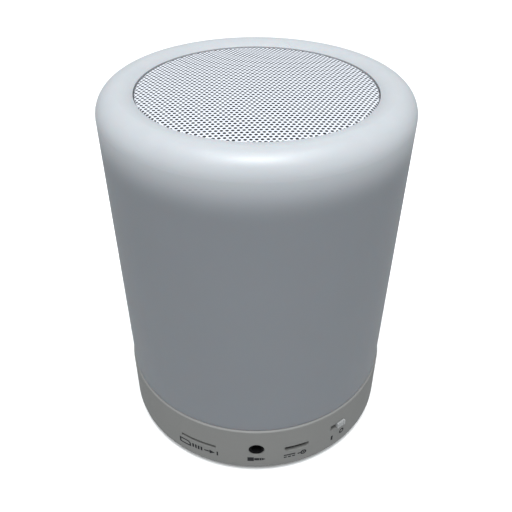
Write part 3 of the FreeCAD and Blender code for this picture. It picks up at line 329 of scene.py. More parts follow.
MOULDED_GRAIN = EffectGroup(
    "moulded_grain",
    [COLOUR_IN, ROUGH_IN, ("Spread", "Float", 0.05), ("Grain", "Float", 3000.0),
     ("Rough Spread", "Float", 0.1)],
    [("Colour", "Color"), ("Roughness", "Float"), ("Height", "Float")],
    build_moulded_grain,
)
SOFTENED_EDGE = EffectGroup(
    "softened_edge",
    [COLOUR_IN, ("Edge Colour", "Color", WHITE), ("Radius", "Float", 0.0002),
     ("Amount", "Float", 0.5)],
    [("Colour", "Color"), ("Normal", "Vector")],
    build_softened_edge,
)
SETTLED_DUST = EffectGroup(
    "settled_dust",
    [COLOUR_IN, ROUGH_IN, ("Amount", "Float", 0.1)],
    [("Colour", "Color"), ("Roughness", "Float")],
    build_settled_dust,
)
ROLLED_METAL = EffectGroup(
    "rolled_metal",
    [COLOUR_IN, ROUGH_IN, ("Tarnish", "Float", 0.4), ("Rough Spread", "Float", 0.2)],
    [("Colour", "Color"), ("Roughness", "Float"), ("Height", "Float")],
    build_rolled_metal,
)
PRINTED_CIRCUIT = EffectGroup(
    "printed_circuit",
    [COLOUR_IN, ("Track Colour", "Color", WHITE), ("Scale", "Float", 260.0)],
    [("Colour", "Color"), ("Height", "Float")],
    build_printed_circuit,
)
FIBRE = EffectGroup(
    "fibre",
    [COLOUR_IN, ("Spread", "Float", 0.5)],
    [("Colour", "Color"), ("Height", "Float")],
    build_fibre,
)
PAINTED_LIGHT_FADE = EffectGroup(
    "painted_light_fade",
    [COLOUR_IN, ("High Colour", "Color", WHITE), ("Low", "Float", 0.0), ("High", "Float", 0.1)],
    [("Colour", "Color")],
    build_painted_light_fade,
)
WOUND_TURNS = EffectGroup(
    "wound_turns",
    [COLOUR_IN, ("Scale", "Float", 1500.0)],
    [("Colour", "Color"), ("Height", "Float")],
    build_wound_turns,
)


# ------------------------------------------------------------------------------------- finishes


MADE: dict[str, bpy.types.Material] = {}
SCATTER_DEPTH = 4 * MM
COAT_ROUGHNESS = 0.15
# How much lighter colour is painted along sharp edges, partly highlight, partly wear.
EDGE_WEAR_AND_HIGHLIGHT_SHARE = 0.35
# How far the painted highlight band above the rim height fades in.
PAINTED_HIGHLIGHT_FADE = 0.1 * MM


def start_material(name: str, colour: Colour) -> tuple[bpy.types.Material, Graph, bpy.types.Node]:
    """Makes an empty material and keeps it in MADE, for the next piece of the same finish.

    Args:
        name: the material's name.
        colour: its plain colour in the viewport.

    Returns:
        The material, a graph to build it with, and its Principled BSDF.
    """
    made = MADE[name] = bpy.data.materials.new(name)
    made.use_nodes = True
    made.diffuse_color = (*colour, 1.0)
    return made, Graph(made.node_tree), made.node_tree.nodes["Principled BSDF"]


class Surface(enum.Enum):
    """How a finish's surface is made."""

    MOULDED = "moulded plastic or rubber, with a fine grain"
    METAL = "rolled, drawn or plated metal"
    CIRCUIT = "a printed circuit board"
    FIBRE = "pulp, foam, felt or cloth"
    WOUND = "turns of wire"


@dataclass(frozen=True)
class Finish:
    """One finish, which becomes one material.

    Attributes:
        name: the material's name.
        surface: how the surface is made.
        colour: its main colour.
        roughness: its main roughness.
        spread: how much its tone or roughness varies.
        grain: grain lines or grains per metre.
        bump: how far its grain stands up, in metres.
        metallic: 1 for bare metal.
        coat: how much clear lacquer covers it.
        dust: how much dust has settled on it.
        edge: radius of its softened edges, in metres, or 0 for none.
        second: a second colour, such as copper tracks, or the lighter colour painted along edges and
            above the rim: a painted highlight, and along edges also rubbed wear.
        specular: the shader's specular level.
        subsurface: how much light scatters inside it.
        rim: the height above which its colour is painted lighter, turning to its second colour as a
            painted highlight, or 0 for none.
    """

    name: str
    surface: Surface
    colour: Colour
    roughness: float
    spread: float = 0.06
    grain: float = 3000.0
    bump: float = 0.00001
    metallic: float = 0.0
    coat: float = 0.0
    dust: float = 0.0
    edge: float = 0.0
    second: Colour = (0.8, 0.8, 0.8)
    specular: float = 0.5
    subsurface: float = 0.0
    rim: float = 0.0

    def effect(self, graph: Graph) -> dict[str, Socket]:
        """Places the group that makes this kind of surface and returns its outputs."""
        colour = (*self.colour, 1.0)
        if self.surface is Surface.METAL:
            return ROLLED_METAL.use(graph, Colour=colour, Roughness=self.roughness,
                                    Tarnish=self.spread, Rough_Spread=0.25)
        if self.surface is Surface.CIRCUIT:
            return PRINTED_CIRCUIT.use(graph, Colour=colour, Track_Colour=(*self.second, 1.0),
                                       Scale=self.grain)
        if self.surface is Surface.FIBRE:
            return FIBRE.use(graph, Colour=colour, Spread=self.spread)
        if self.surface is Surface.WOUND:
            return WOUND_TURNS.use(graph, Colour=colour, Scale=self.grain)
        return MOULDED_GRAIN.use(graph, Colour=colour, Roughness=self.roughness,
                                 Spread=self.spread, Grain=self.grain, Rough_Spread=0.14)

    def material(self) -> bpy.types.Material:
        """Makes the material, or returns the one already made.

        Returns:
            The material, whose shader is one Principled BSDF.
        """
        if self.name in MADE:
            return MADE[self.name]
        made, graph, shader = start_material(self.name, self.colour)
        outputs = self.effect(graph)
        colour, rough = outputs["Colour"], outputs.get("Roughness")
        graph.feed(shader, Metallic=self.metallic, Roughness=self.roughness,
                   Coat_Weight=self.coat, Coat_Roughness=COAT_ROUGHNESS, Specular_IOR_Level=self.specular,
                   Subsurface_Weight=self.subsurface, Subsurface_Scale=SCATTER_DEPTH)
        bump = graph.add("Bump")
        graph.feed(bump, Strength=1.0, Distance=self.bump, Height=outputs["Height"])
        # Painted highlight: above the rim height the colour turns to the lighter second colour, standing
        # in for light on the top bevel.
        if self.rim:
            colour = PAINTED_LIGHT_FADE.use(graph, Colour=colour, High_Colour=(*self.second, 1.0),
                                     Low=self.rim, High=self.rim + PAINTED_HIGHLIGHT_FADE)["Colour"]
        if self.edge:
            soft = SOFTENED_EDGE.use(graph, Colour=colour, Edge_Colour=(*self.second, 1.0),
                                     Radius=self.edge, Amount=EDGE_WEAR_AND_HIGHLIGHT_SHARE)
            colour = soft["Colour"]
            graph.feed(bump, Normal=soft["Normal"])
        if self.dust:
            dusty = SETTLED_DUST.use(graph, Colour=colour, Roughness=rough or self.roughness,
                                     Amount=self.dust)
            colour, rough = dusty["Colour"], dusty["Roughness"]
        graph.feed(shader, Base_Color=colour, Normal=bump.outputs[0])
        if rough:
            graph.feed(shader, Roughness=rough)
        return made


@dataclass(frozen=True)
class FrostedFinish:
    """The shade's frosted, milky plastic, with painted light: its colour is painted lighter at the
    shoulder, standing in for the highlight and the glow that light makes there.

    Attributes:
        name: the material's name.
        low_colour: its colour down the wall.
        painted_lit_colour: the lighter colour painted at the shoulder, standing in for the light that
            falls there.
        low: the height where the painted light starts, in metres.
        high: the height where the painted light is strongest, in metres.
        roughness: its main roughness.
        spread: how much its tone varies.
        grain: grains per metre.
        bump: how far its grain stands up, in metres.
        dust: how much dust has settled on it.
        specular: the shader's specular level.
        subsurface: how much light scatters inside it.
    """

    name: str = "frosted_shade"
    low_colour: Colour = (0.135, 0.144, 0.156)
    painted_lit_colour: Colour = (0.32, 0.335, 0.352)
    low: float = 0.0992
    high: float = 0.1162
    roughness: float = 0.32
    spread: float = 0.04
    grain: float = 5200.0
    bump: float = 0.000004
    dust: float = 0.05
    specular: float = 0.32
    subsurface: float = 0.12

    def material(self) -> bpy.types.Material:
        """Makes the material, or returns the one already made."""
        if self.name in MADE:
            return MADE[self.name]
        made, graph, shader = start_material(self.name, self.low_colour)
        # Painted light: the colour turns lighter up the wall towards the shoulder, standing in for the
        # highlight and the glow of light scattered in the wall there.
        fade = PAINTED_LIGHT_FADE.use(graph, Colour=(*self.low_colour, 1.0),
                               High_Colour=(*self.painted_lit_colour, 1.0), Low=self.low, High=self.high)
        grain = MOULDED_GRAIN.use(graph, Colour=fade["Colour"], Roughness=self.roughness,
                                  Spread=self.spread, Grain=self.grain, Rough_Spread=0.1)
        dusty = SETTLED_DUST.use(graph, Colour=grain["Colour"], Roughness=grain["Roughness"],
                                 Amount=self.dust)
        bump = graph.add("Bump")
        graph.feed(bump, Strength=1.0, Distance=self.bump, Height=grain["Height"])
        graph.feed(shader, Base_Color=dusty["Colour"], Roughness=dusty["Roughness"],
                   Normal=bump.outputs[0], Specular_IOR_Level=self.specular,
                   Subsurface_Weight=self.subsurface, Subsurface_Scale=SCATTER_DEPTH)
        return made


def moulded(name: str, colour: Colour, roughness: float, **more: float) -> Finish:
    """A finish of moulded plastic or rubber."""
    return Finish(name, Surface.MOULDED, colour, roughness, **more)


def metal(name: str, colour: Colour, roughness: float, **more: float) -> Finish:
    """A finish of bare or plated metal."""
    return Finish(name, Surface.METAL, colour, roughness, metallic=1.0, **more)


FROSTED_SHADE = FrostedFinish()
# The base ring's second colour is painted light: a highlight band above 20.5 mm along its top bevel, and
# a lighter line along sharp edges that is partly highlight, partly rubbed wear.
BASE_PLASTIC = moulded("base_plastic", (0.134, 0.134, 0.128), 0.48, grain=3400.0, bump=0.000012,
                       edge=0.00022, second=(0.165, 0.165, 0.161), dust=0.05, rim=0.0205)
COVER_PLASTIC = moulded("cover_plastic", (0.138, 0.138, 0.134), 0.6, grain=2600.0, bump=0.00002)
FOOT_RUBBER = moulded("foot_rubber", (0.035, 0.035, 0.037), 0.85, grain=2200.0, bump=0.00003,
                      spread=0.25, specular=0.3)
GRILLE_PAINT = moulded("grille_paint", (0.52, 0.54, 0.58), 0.38, grain=4200.0, bump=0.000004,
                       metallic=0.12, dust=0.05)
# Painted shade: the grille's hole walls and underside are painted dark so the holes read as shaded.
GRILLE_PAINTED_SHADE = moulded("grille_painted_shade", (0.085, 0.085, 0.095), 0.6, grain=4200.0,
                        bump=0.000004, specular=0.3)
PRINT_INK = moulded("print_ink", (0.012, 0.012, 0.014), 0.7, grain=9000.0, bump=0.000002,
                    spread=0.5, specular=0.15)
KEY_PLASTIC = moulded("key_plastic", (0.138, 0.138, 0.135), 0.42, grain=3400.0, bump=0.00001,
                      dust=0.04)
# The knob's edges are painted lighter, partly a painted highlight and partly rubbed wear.
KNOB_PLASTIC = moulded("knob_plastic", (0.27, 0.275, 0.275), 0.38, grain=3400.0, bump=0.00001,
                       edge=0.0001)
BLACK_PLASTIC = moulded("black_moulding", (0.004, 0.004, 0.0045), 0.85, grain=3600.0,
                        bump=0.00001, specular=0.06)
WHITE_PLASTIC = moulded("white_moulding", (0.82, 0.82, 0.78), 0.45, grain=3200.0, bump=0.00001)
INNER_PLASTIC = moulded("inner_moulding", (0.80, 0.80, 0.77), 0.55, grain=2400.0, bump=0.00002)
SURROUND_RUBBER = moulded("surround_rubber", (0.02, 0.02, 0.021), 0.7, grain=2600.0,
                          bump=0.00002, spread=0.3)
CHIP_RESIN = moulded("chip_resin", (0.018, 0.018, 0.02), 0.6, grain=5200.0, bump=0.00001)
SINTERED = moulded("sintered_ferrite", (0.045, 0.045, 0.047), 0.7, grain=1600.0, bump=0.00004,
                   spread=0.4)
BASKET_PAINT = moulded("basket_paint", (0.02, 0.02, 0.022), 0.35, grain=2400.0, bump=0.00001,
                       coat=0.3)
CELL_SLEEVE = moulded("cell_sleeve", (0.05, 0.22, 0.42), 0.3, grain=1200.0, bump=0.00003,
                      coat=0.4)
WARM_PHOSPHOR = moulded("warm_phosphor", (0.90, 0.68, 0.20), 0.35, grain=6000.0, bump=0.00001,
                        subsurface=0.2)
CLEAR_RESIN = moulded("clear_resin", (0.86, 0.87, 0.86), 0.15, grain=2000.0, bump=0.000004,
                      coat=0.6)
RED_LEAD = moulded("red_lead", (0.45, 0.03, 0.025), 0.4, grain=3000.0, bump=0.00001)
BLACK_LEAD = moulded("black_lead", (0.02, 0.02, 0.02), 0.4, grain=3000.0, bump=0.00001)
WHITE_LEAD = moulded("white_lead", (0.72, 0.72, 0.68), 0.4, grain=3000.0, bump=0.00001)
ZINC_STEEL = metal("zinc_steel", (0.62, 0.61, 0.58), 0.32, spread=0.5, bump=0.000006)
TIN_PLATE = metal("tin_plate", (0.60, 0.58, 0.55), 0.28, spread=0.4, bump=0.000004)
PLATED_IRON = metal("plated_iron", (0.50, 0.49, 0.46), 0.36, spread=0.6, bump=0.00001)
DRAWN_CAN = metal("drawn_can", (0.72, 0.72, 0.72), 0.3, spread=0.3, bump=0.000006)
COIL_FOIL = metal("coil_foil", (0.75, 0.75, 0.74), 0.3, spread=0.2, bump=0.000004)
SOLDER = metal("bright_solder", (0.68, 0.67, 0.65), 0.22, spread=0.3, bump=0.00001)
GOLD_CONTACT = metal("gold_contact", (0.78, 0.55, 0.22), 0.25, spread=0.2, bump=0.000004)
COPPER_WINDING = Finish("copper_winding", Surface.WOUND, (0.72, 0.34, 0.15), 0.3,
                        grain=1500.0, bump=0.00004, metallic=1.0)
GREEN_BOARD = Finish("green_board", Surface.CIRCUIT, (0.012, 0.12, 0.05), 0.3, grain=260.0,
                     bump=0.00003, second=(0.03, 0.24, 0.09), coat=0.4)
WHITE_BOARD = Finish("white_board", Surface.CIRCUIT, (0.82, 0.82, 0.80), 0.3, grain=150.0,
                     bump=0.00002, second=(0.70, 0.70, 0.67), coat=0.3)
CONE_PULP = Finish("cone_pulp", Surface.FIBRE, (0.035, 0.035, 0.038), 0.85, spread=1.6,
                   bump=0.00006)
CAP_PULP = Finish("cap_pulp", Surface.FIBRE, (0.028, 0.028, 0.03), 0.7, spread=1.2,
                  bump=0.00004)
SPIDER_CLOTH = Finish("spider_cloth", Surface.FIBRE, (0.62, 0.45, 0.16), 0.9, spread=0.9,
                      bump=0.00008)
BLACK_FOAM = Finish("black_foam", Surface.FIBRE, (0.03, 0.03, 0.03), 0.95, spread=1.8,
                    bump=0.00012)

NODE_FINISHES = {
    "base_ring": BASE_PLASTIC, "bottom_cover": COVER_PLASTIC, "cover_screws": ZINC_STEEL,
    "shade": FROSTED_SHADE, "speaker_column": INNER_PLASTIC, "rim_gasket": SURROUND_RUBBER,
    "column_screws": ZINC_STEEL, "lamp_board": WHITE_BOARD, "warm_lamps": WARM_PHOSPHOR,
    "colour_lamps": CLEAR_RESIN, "battery_cell": CELL_SLEEVE, "cell_safety_board": GREEN_BOARD,
    "front_plate": PLATED_IRON,
    "magnet": SINTERED, "yoke": PLATED_IRON, "coil_former": COIL_FOIL,
    "voice_coil": COPPER_WINDING, "speaker_basket": BASKET_PAINT, "solder_tags": BLACK_PLASTIC,
    "speaker_cone": CONE_PULP, "dust_cap": CAP_PULP, "surround": SURROUND_RUBBER,
    "speaker_gasket": SURROUND_RUBBER, "speaker_screws": ZINC_STEEL,
    "main_board": GREEN_BOARD, "board_screws": ZINC_STEEL, "wireless_module": DRAWN_CAN,
    "amplifier_chip": CHIP_RESIN, "touch_chip": CHIP_RESIN, "capacitors": DRAWN_CAN,
    "inductor": CHIP_RESIN, "chip_parts": WHITE_PLASTIC, "wire_sockets": WHITE_PLASTIC,
    "input_jack": BLACK_PLASTIC, "charging_shell": TIN_PLATE, "charging_tongue": BLACK_PLASTIC,
    "card_shell": TIN_PLATE, "card_base": BLACK_PLASTIC, "switch_body": TIN_PLATE,
    "switch_knob": KNOB_PLASTIC, "key_switches": BLACK_PLASTIC, "microphone": DRAWN_CAN,
    "speaker_leads": RED_LEAD, "cell_leads": BLACK_LEAD, "touch_lead": WHITE_LEAD,
    "touch_solder": SOLDER, "lamp_leads": WHITE_LEAD, "mode_plunger": WHITE_PLASTIC,
    "previous_plunger": WHITE_PLASTIC, "play_plunger": WHITE_PLASTIC,
    "next_plunger": WHITE_PLASTIC,
}


# --------------------------------------------------------------------------------------- meshes


def on_bearing(bearing: float, across: float, out: float, height: float) -> Vector:
    """A point at a distance out from the axis on a bearing, and across from that line.

    Args:
        bearing: degrees from the front, positive towards +X.
        across: metres to the right as seen from outside.
        out: metres from the axis.
        height: metres above the surface it stands on.

    Returns:
        The point in the frame.
    """
    turn = math.radians(bearing)
    return Vector((
        out * math.sin(turn) + across * math.cos(turn),
        -out * math.cos(turn) + across * math.sin(turn),
        height,
    ))


def finished(
    name: str,
    mesh: bpy.types.Mesh,
    finish: Finish,
    body: str,
    nodes: Iterable[str] = (),
    crease: float = 35.0,
) -> bpy.types.Object:
    """Turns a mesh into a piece: its material, shading, body and what it stands for.

    Args:
        name: the piece's name.
        mesh: its mesh, in place.
        finish: its finish.
        body: the CAD body it rides on.
        nodes: CAD nodes it stands for.
        crease: edges sharper than this many degrees stay sharp.

    Returns:
        The object.
    """
    piece = bpy.data.objects.new(name, mesh)
    bpy.context.scene.collection.objects.link(piece)
    mesh.materials.append(finish.material())
    mesh.shade_smooth()
    mesh.set_sharp_from_angle(angle=math.radians(crease))
    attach(piece, body)
    if nodes:
        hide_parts(*nodes)
    LOG.info("%s: %d faces, finish %s, on body %s", name, len(mesh.polygons), finish.name, body)
    return piece


def from_lists(name: str, points: Sequence[Vector], faces: Sequence[Sequence[int]]) -> bpy.types.Mesh:
    """Makes a mesh from points and faces, with its faces turned outwards.

    Args:
        name: the mesh's name.
        points: its vertices.
        faces: vertex numbers of each face.

    Returns:
        The mesh.
    """
    mesh = bpy.data.meshes.new(name)
    mesh.from_pydata([tuple(point) for point in points], [], faces)
    work = bmesh.new()
    work.from_mesh(mesh)
    bmesh.ops.recalc_face_normals(work, faces=work.faces)
    work.to_mesh(mesh)
    work.free()
    return mesh


def turned(name: str, outline: Sequence[Flat], segments: int) -> bpy.types.Mesh:
    """Turns a closed outline of (radius, height) points about the Z axis.

    Args:
        name: the mesh's name.
        outline: points round the section, in metres. One on the axis becomes a single vertex.
        segments: how many steps make a full turn.

    Returns:
        The mesh.
    """
    points: list[Vector] = []
    rings: list[list[int]] = []
    for radius, height in outline:
        first = len(points)
        if radius < 1e-9:
            points.append(Vector((0.0, 0.0, height)))
            rings.append([first] * segments)
            continue
        for step in range(segments):
            turn = 2 * math.pi * step / segments
            points.append(Vector((radius * math.cos(turn), radius * math.sin(turn), height)))
        rings.append(list(range(first, first + segments)))
    faces = []
    for low, high in zip(rings, rings[1:] + rings[:1]):
        for step in range(segments):
            after = (step + 1) % segments
            corners = [low[step], low[after], high[after], high[step]]
            distinct = list(dict.fromkeys(corners))
            if len(distinct) > 2:
                faces.append(distinct)
    return from_lists(name, points, faces)


def corner_arc(centre: Flat, radius: float, start: float, stop: float, steps: int) -> list[Flat]:
    """Points along an arc, between two angles in degrees."""
    return [
        (
            centre[0] + radius * math.cos(math.radians(start + (stop - start) * k / steps)),
            centre[1] + radius * math.sin(math.radians(start + (stop - start) * k / steps)),
        )
        for k in range(steps + 1)
    ]


# --------------------------------------------------------------------------------------- grille


@dataclass
class PerforatedGrille:
    """The pressed grille, punched all over with round holes in staggered rows.

    The sheet is laid out flat, in rows, and then pressed: a low dome, a rolled edge, a skirt.
    """

    outer_radius: float = 34.4 * MM
    roll: float = 0.6 * MM
    crown: float = 117.4 * MM
    rise: float = 1.0 * MM
    skirt_foot: float = 113.8 * MM
    sheet: float = 0.4 * MM
    pitch: float = 1.4 * MM
    hole_radius: float = 0.47 * MM
    row_turn: float = 3.8
    plain_from: float = 34.5 * MM
    sides: int = 12
    edge_steps: int = 240
    roll_rings: tuple[float, ...] = (0.72, 0.86, 1.0)
    grid: float = 0.0001 * MM
    points: list[Vector] = field(default_factory=list)
    faces: list[list[int]] = field(default_factory=list)
    known: dict[tuple[int, int, int], int] = field(default_factory=dict)

    @property
    def dome_edge(self) -> float:
        """The radius where the dome meets the rolled edge."""
        return self.outer_radius - self.roll

    @property
    def blank_radius(self) -> float:
        """The radius of the flat sheet before pressing."""
        skirt = self.crown - self.rise - self.roll - self.skirt_foot
        return self.dome_edge + self.roll * math.pi / 2 + skirt

    def pressed(self, x: float, y: float, depth: float) -> Vector:
        """Where a point of the flat sheet lies once pressed.

        Args:
            x: across the flat sheet.
            y: along the flat sheet.
            depth: how far below the outer face, 0 or the sheet's thickness.

        Returns:
            The point in the frame.
        """
        reach = math.hypot(x, y)
        if reach <= self.dome_edge:
            share = reach / self.dome_edge
            radius, height = reach, self.crown - self.rise * share * share
            lean = 2 * self.rise * share / self.dome_edge
            out, up = math.sin(lean), math.cos(lean)
        else:
            past = reach - self.dome_edge
            turn = min(past / self.roll, math.pi / 2)
            out, up = math.sin(turn), math.cos(turn)
            drop = max(past - self.roll * math.pi / 2, 0.0)
            radius = self.dome_edge + self.roll * out
            height = self.crown - self.rise - self.roll * (1 - up) - drop
        radius, height = radius - depth * out, height - depth * up
        scale = radius / reach if reach > 1e-9 else 0.0
        return Vector((x * scale, y * scale, height))

    def on_grid(self, x: float, y: float) -> tuple[int, int]:
        """The grid point that a point of the flat sheet shares with its close neighbours."""
        return (round(x / self.grid), round(y / self.grid))

    def vertex(self, x: float, y: float, side: int) -> int:
        """The number of the vertex at a point of the flat sheet, on its outer or inner side."""
        key = (*self.on_grid(x, y), side)
        if key not in self.known:
            self.known[key] = len(self.points)
            self.points.append(self.pressed(x, y, self.sheet * side))
        return self.known[key]

    def nearest_row(self, x: float, y: float) -> tuple[int, int]:
        """The row and place of the hole whose cell holds a point of the flat sheet."""
        turn = math.radians(-self.row_turn)
        across = x * math.cos(turn) - y * math.sin(turn)
        along = x * math.sin(turn) + y * math.cos(turn)
        row_gap = self.pitch * math.sqrt(3) / 2
        best, found = math.inf, (0, 0)
        guess = round(along / row_gap)
        for row in (guess - 1, guess, guess + 1):
            place = round(across / self.pitch - row / 2)
            gap = math.hypot(across - (place + row / 2) * self.pitch, along - row * row_gap)
            if gap < best:
                best, found = gap, (row, place)
        return found

    def centre(self, row: int, place: int) -> Flat:
        """The middle of a hole on the flat sheet."""
        across, along = (place + row / 2) * self.pitch, row * self.pitch * math.sqrt(3) / 2
        turn = math.radians(self.row_turn)
        return (
            across * math.cos(turn) - along * math.sin(turn),
            across * math.sin(turn) + along * math.cos(turn),
        )

    def cell(self, row: int, place: int) -> list[tuple[Flat, Flat]]:
        """Points round a hole's six-sided cell, each with the point on the hole's edge beside it."""
        x, y = self.centre(row, place)
        corner, middle = self.pitch / math.sqrt(3), self.pitch / 2
        points = []
        for step in range(self.sides):
            turn = math.radians(360 * step / self.sides + self.row_turn)
            reach = corner if step % 2 else middle
            cos, sin = math.cos(turn), math.sin(turn)
            points.append(((x + reach * cos, y + reach * sin),
                           (x + self.hole_radius * cos, y + self.hole_radius * sin)))
        return points

    def punch(self) -> set[tuple[int, int]]:
        """Makes every hole with the six-sided cell of sheet round it, and returns the cells."""
        count = int(self.plain_from / (self.pitch * math.sqrt(3) / 2)) + 3
        cells = {
            (row, place)
            for row in range(-count, count + 1)
            for place in range(-2 * count, 2 * count + 1)
            if math.hypot(*self.centre(row, place)) <= self.plain_from
        }
        for row, place in sorted(cells):
            rim, hole = [[], []], [[], []]
            for outside, inside in self.cell(row, place):
                for side in (0, 1):
                    rim[side].append(self.vertex(*outside, side))
                    hole[side].append(self.vertex(*inside, side))
            for step in range(self.sides):
                after = (step + 1) % self.sides
                for side in (0, 1):
                    self.faces.append([rim[side][step], rim[side][after],
                                       hole[side][after], hole[side][step]])
                self.faces.append([hole[0][step], hole[0][after],
                                   hole[1][after], hole[1][step]])
        return cells

    def fill_margin(self, cells: set[tuple[int, int]]) -> None:
        """Fills the plain margin between the outermost cells and the sheet's edge."""
        uses: dict[tuple[tuple[int, int], tuple[int, int]], int] = {}
        places: dict[tuple[int, int], Flat] = {}
        for row, place in sorted(cells):
            keys = []
            for point, _ in self.cell(row, place):
                key = self.on_grid(*point)
                places[key] = point
                keys.append(key)
            for first, second in zip(keys, keys[1:] + keys[:1]):
                edge = (min(first, second), max(first, second))
                uses[edge] = uses.get(edge, 0) + 1
        border = sorted(edge for edge, count in uses.items() if count == 1)
        keys = sorted({key for edge in border for key in edge})
        number = {key: index for index, key in enumerate(keys)}
        flat = [places[key] for key in keys]
        edges = [(number[first], number[second]) for first, second in border]
        steps = self.edge_steps
        rings = [self.dome_edge + self.roll * math.pi / 2 * share for share in self.roll_rings]
        for radius in rings + [self.blank_radius]:
            start = len(flat)
            for k in range(steps):
                turn = 2 * math.pi * k / steps
                flat.append((radius * math.cos(turn), radius * math.sin(turn)))
        edges += [(start + k, start + (k + 1) % steps) for k in range(steps)]
        outer = range(start, start + steps)
        vectors = [Vector(point) for point in flat]
        spread, _, triangles, _, _, _ = delaunay_2d_cdt(vectors, edges, [], 0, 1e-9)
        for triangle in triangles:
            x = sum(spread[k][0] for k in triangle) / 3
            y = sum(spread[k][1] for k in triangle) / 3
            if self.nearest_row(x, y) in cells:
                continue
            for side in (0, 1):
                self.faces.append([self.vertex(spread[k][0], spread[k][1], side) for k in triangle])
        for k in range(steps):
            first, second = flat[outer[k]], flat[outer[(k + 1) % steps]]
            self.faces.append([
                self.vertex(*first, 0), self.vertex(*second, 0),
                self.vertex(*second, 1), self.vertex(*first, 1),
            ])

    def build(self) -> bpy.types.Object:
        """Builds the whole grille in place of its plain CAD sheet, and returns it."""
        cells = self.punch()
        self.fill_margin(cells)
        mesh = from_lists("grille_sheet", self.points, self.faces)
        LOG.info("grille: %d holes", len(cells))
        piece = finished("grille_sheet", mesh, GRILLE_PAINT, RECEIVER, ["grille"], 45.0)
        # Painted shade: the hole walls and the underside take the dark finish.
        mesh.materials.append(GRILLE_PAINTED_SHADE.material())
        inner = {number for key, number in self.known.items() if key[2] == 1}
        for face in mesh.polygons:
            face.material_index = int(any(corner in inner for corner in face.vertices))
        return piece


# ---------------------------------------------------------------------------------------- marks


@dataclass
class WrappedMarks:
    """Flat signs printed on a round wall. Sizes are in millimetres across and up."""

    radius: float
    bearing: float
    height: float
    proud: float = 0.012
    sunk: float = 0.05
    step: float = 0.5
    scale: float = 1.0
    round_steps: int = 24
    disc_steps: int = 20
    outlines: list[list[Flat]] = field(default_factory=list)

    def bar(self, x: float, y: float, width: float, tall: float) -> None:
        """Adds a filled rectangle centred on (x, y)."""
        self.outlines.append([
            (x - width / 2, y - tall / 2), (x + width / 2, y - tall / 2),
            (x + width / 2, y + tall / 2), (x - width / 2, y + tall / 2),
        ])

    def band(self, points: Sequence[Flat], line: float, closed: bool = True) -> None:
        """Adds a line of a given thickness along points, with mitred corners.

        Args:
            points: the corners of the line's middle.
            line: how thick it is.
            closed: whether it comes back to its start.
        """
        count = len(points)
        inner, outer = [], []
        for index, point in enumerate(points):
            before = points[index - 1] if closed or index else None
            after = points[(index + 1) % count] if closed or index < count - 1 else None
            here = Vector(point)
            into = (here - Vector(before)).normalized() if before else None
            out = (Vector(after) - here).normalized() if after else into
            into = into or out
            side = Vector((-(into + out).y, (into + out).x)).normalized()
            reach = line / 2 / max(side.dot(Vector((-out.y, out.x))), 0.3)
            inner.append(tuple(here + side * reach))
            outer.append(tuple(here - side * reach))
        for index in range(count if closed else count - 1):
            after = (index + 1) % count
            self.outlines.append([outer[index], outer[after], inner[after], inner[index]])

    def loop(self, x: float, y: float, radius: float, line: float,
             start: float = 0.0, stop: float = 360.0) -> None:
        """Adds a ring or an arc about (x, y), between two angles in degrees."""
        closed = abs(stop - start) >= 360.0
        points = corner_arc((x, y), radius, start, stop, self.round_steps)
        self.band(points[:-1] if closed else points, line, closed)

    def disc(self, x: float, y: float, radius: float) -> None:
        """Adds a filled disc centred on (x, y)."""
        self.outlines.append(corner_arc((x, y), radius, 0.0, 360.0, self.disc_steps)[:-1])

    def card(self, x: float, y: float, width: float, tall: float, line: float) -> None:
        """Adds the outline of a card, with its top right corner cut off."""
        left, right, low, high = x - width / 2, x + width / 2, y - tall / 2, y + tall / 2
        nick = tall * 0.35
        self.band([(left, low), (right, low), (right, high - nick), (right - nick, high),
                   (left, high)], line)

    def arrow(self, x: float, y: float, size: float, right: bool = True) -> None:
        """Adds a filled triangle that points right or left."""
        way = 1 if right else -1
        tail, tip = x - way * size / 2, x + way * size / 2
        self.outlines.append([(tail, y - size / 2), (tip, y), (tail, y + size / 2)])

    def build(self, name: str, finish: Finish, body: str, slot: str) -> bpy.types.Object:
        """Wraps the signs round the wall as a thin closed layer.

        Args:
            name: the piece's name.
            finish: the ink's finish.
            body: the CAD body it rides on.
            slot: the record's material slot; not used.

        Returns:
            The object.
        """
        work = bmesh.new()
        for outline in self.outlines:
            corners = [(x * self.scale, y * self.scale, 0.0) for x, y in outline]
            work.faces.new([work.verts.new(corner) for corner in corners])
        bmesh.ops.remove_doubles(work, verts=work.verts, dist=1e-5)
        reach = max(abs(v.co.x) for v in work.verts)
        cuts = int(reach / self.step) + 1
        for index in range(-cuts, cuts + 1):
            bmesh.ops.bisect_plane(
                work, geom=[*work.verts, *work.edges, *work.faces], dist=1e-6,
                plane_co=(index * self.step, 0, 0), plane_no=(1, 0, 0),
            )
        top = list(work.faces)
        grown = bmesh.ops.extrude_face_region(work, geom=top)
        for item in grown["geom"]:
            if isinstance(item, bmesh.types.BMVert):
                item.co.z = 1.0
        for vert in work.verts:
            lift = self.proud if vert.co.z > 0.5 else -self.sunk
            reach = (self.radius + lift) * MM
            bearing = self.bearing + math.degrees(vert.co.x / self.radius)
            vert.co = on_bearing(bearing, 0.0, reach, (self.height + vert.co.y) * MM)
        bmesh.ops.recalc_face_normals(work, faces=work.faces)
        mesh = bpy.data.meshes.new(name)
        work.to_mesh(mesh)
        work.free()
        return finished(name, mesh, finish, body)


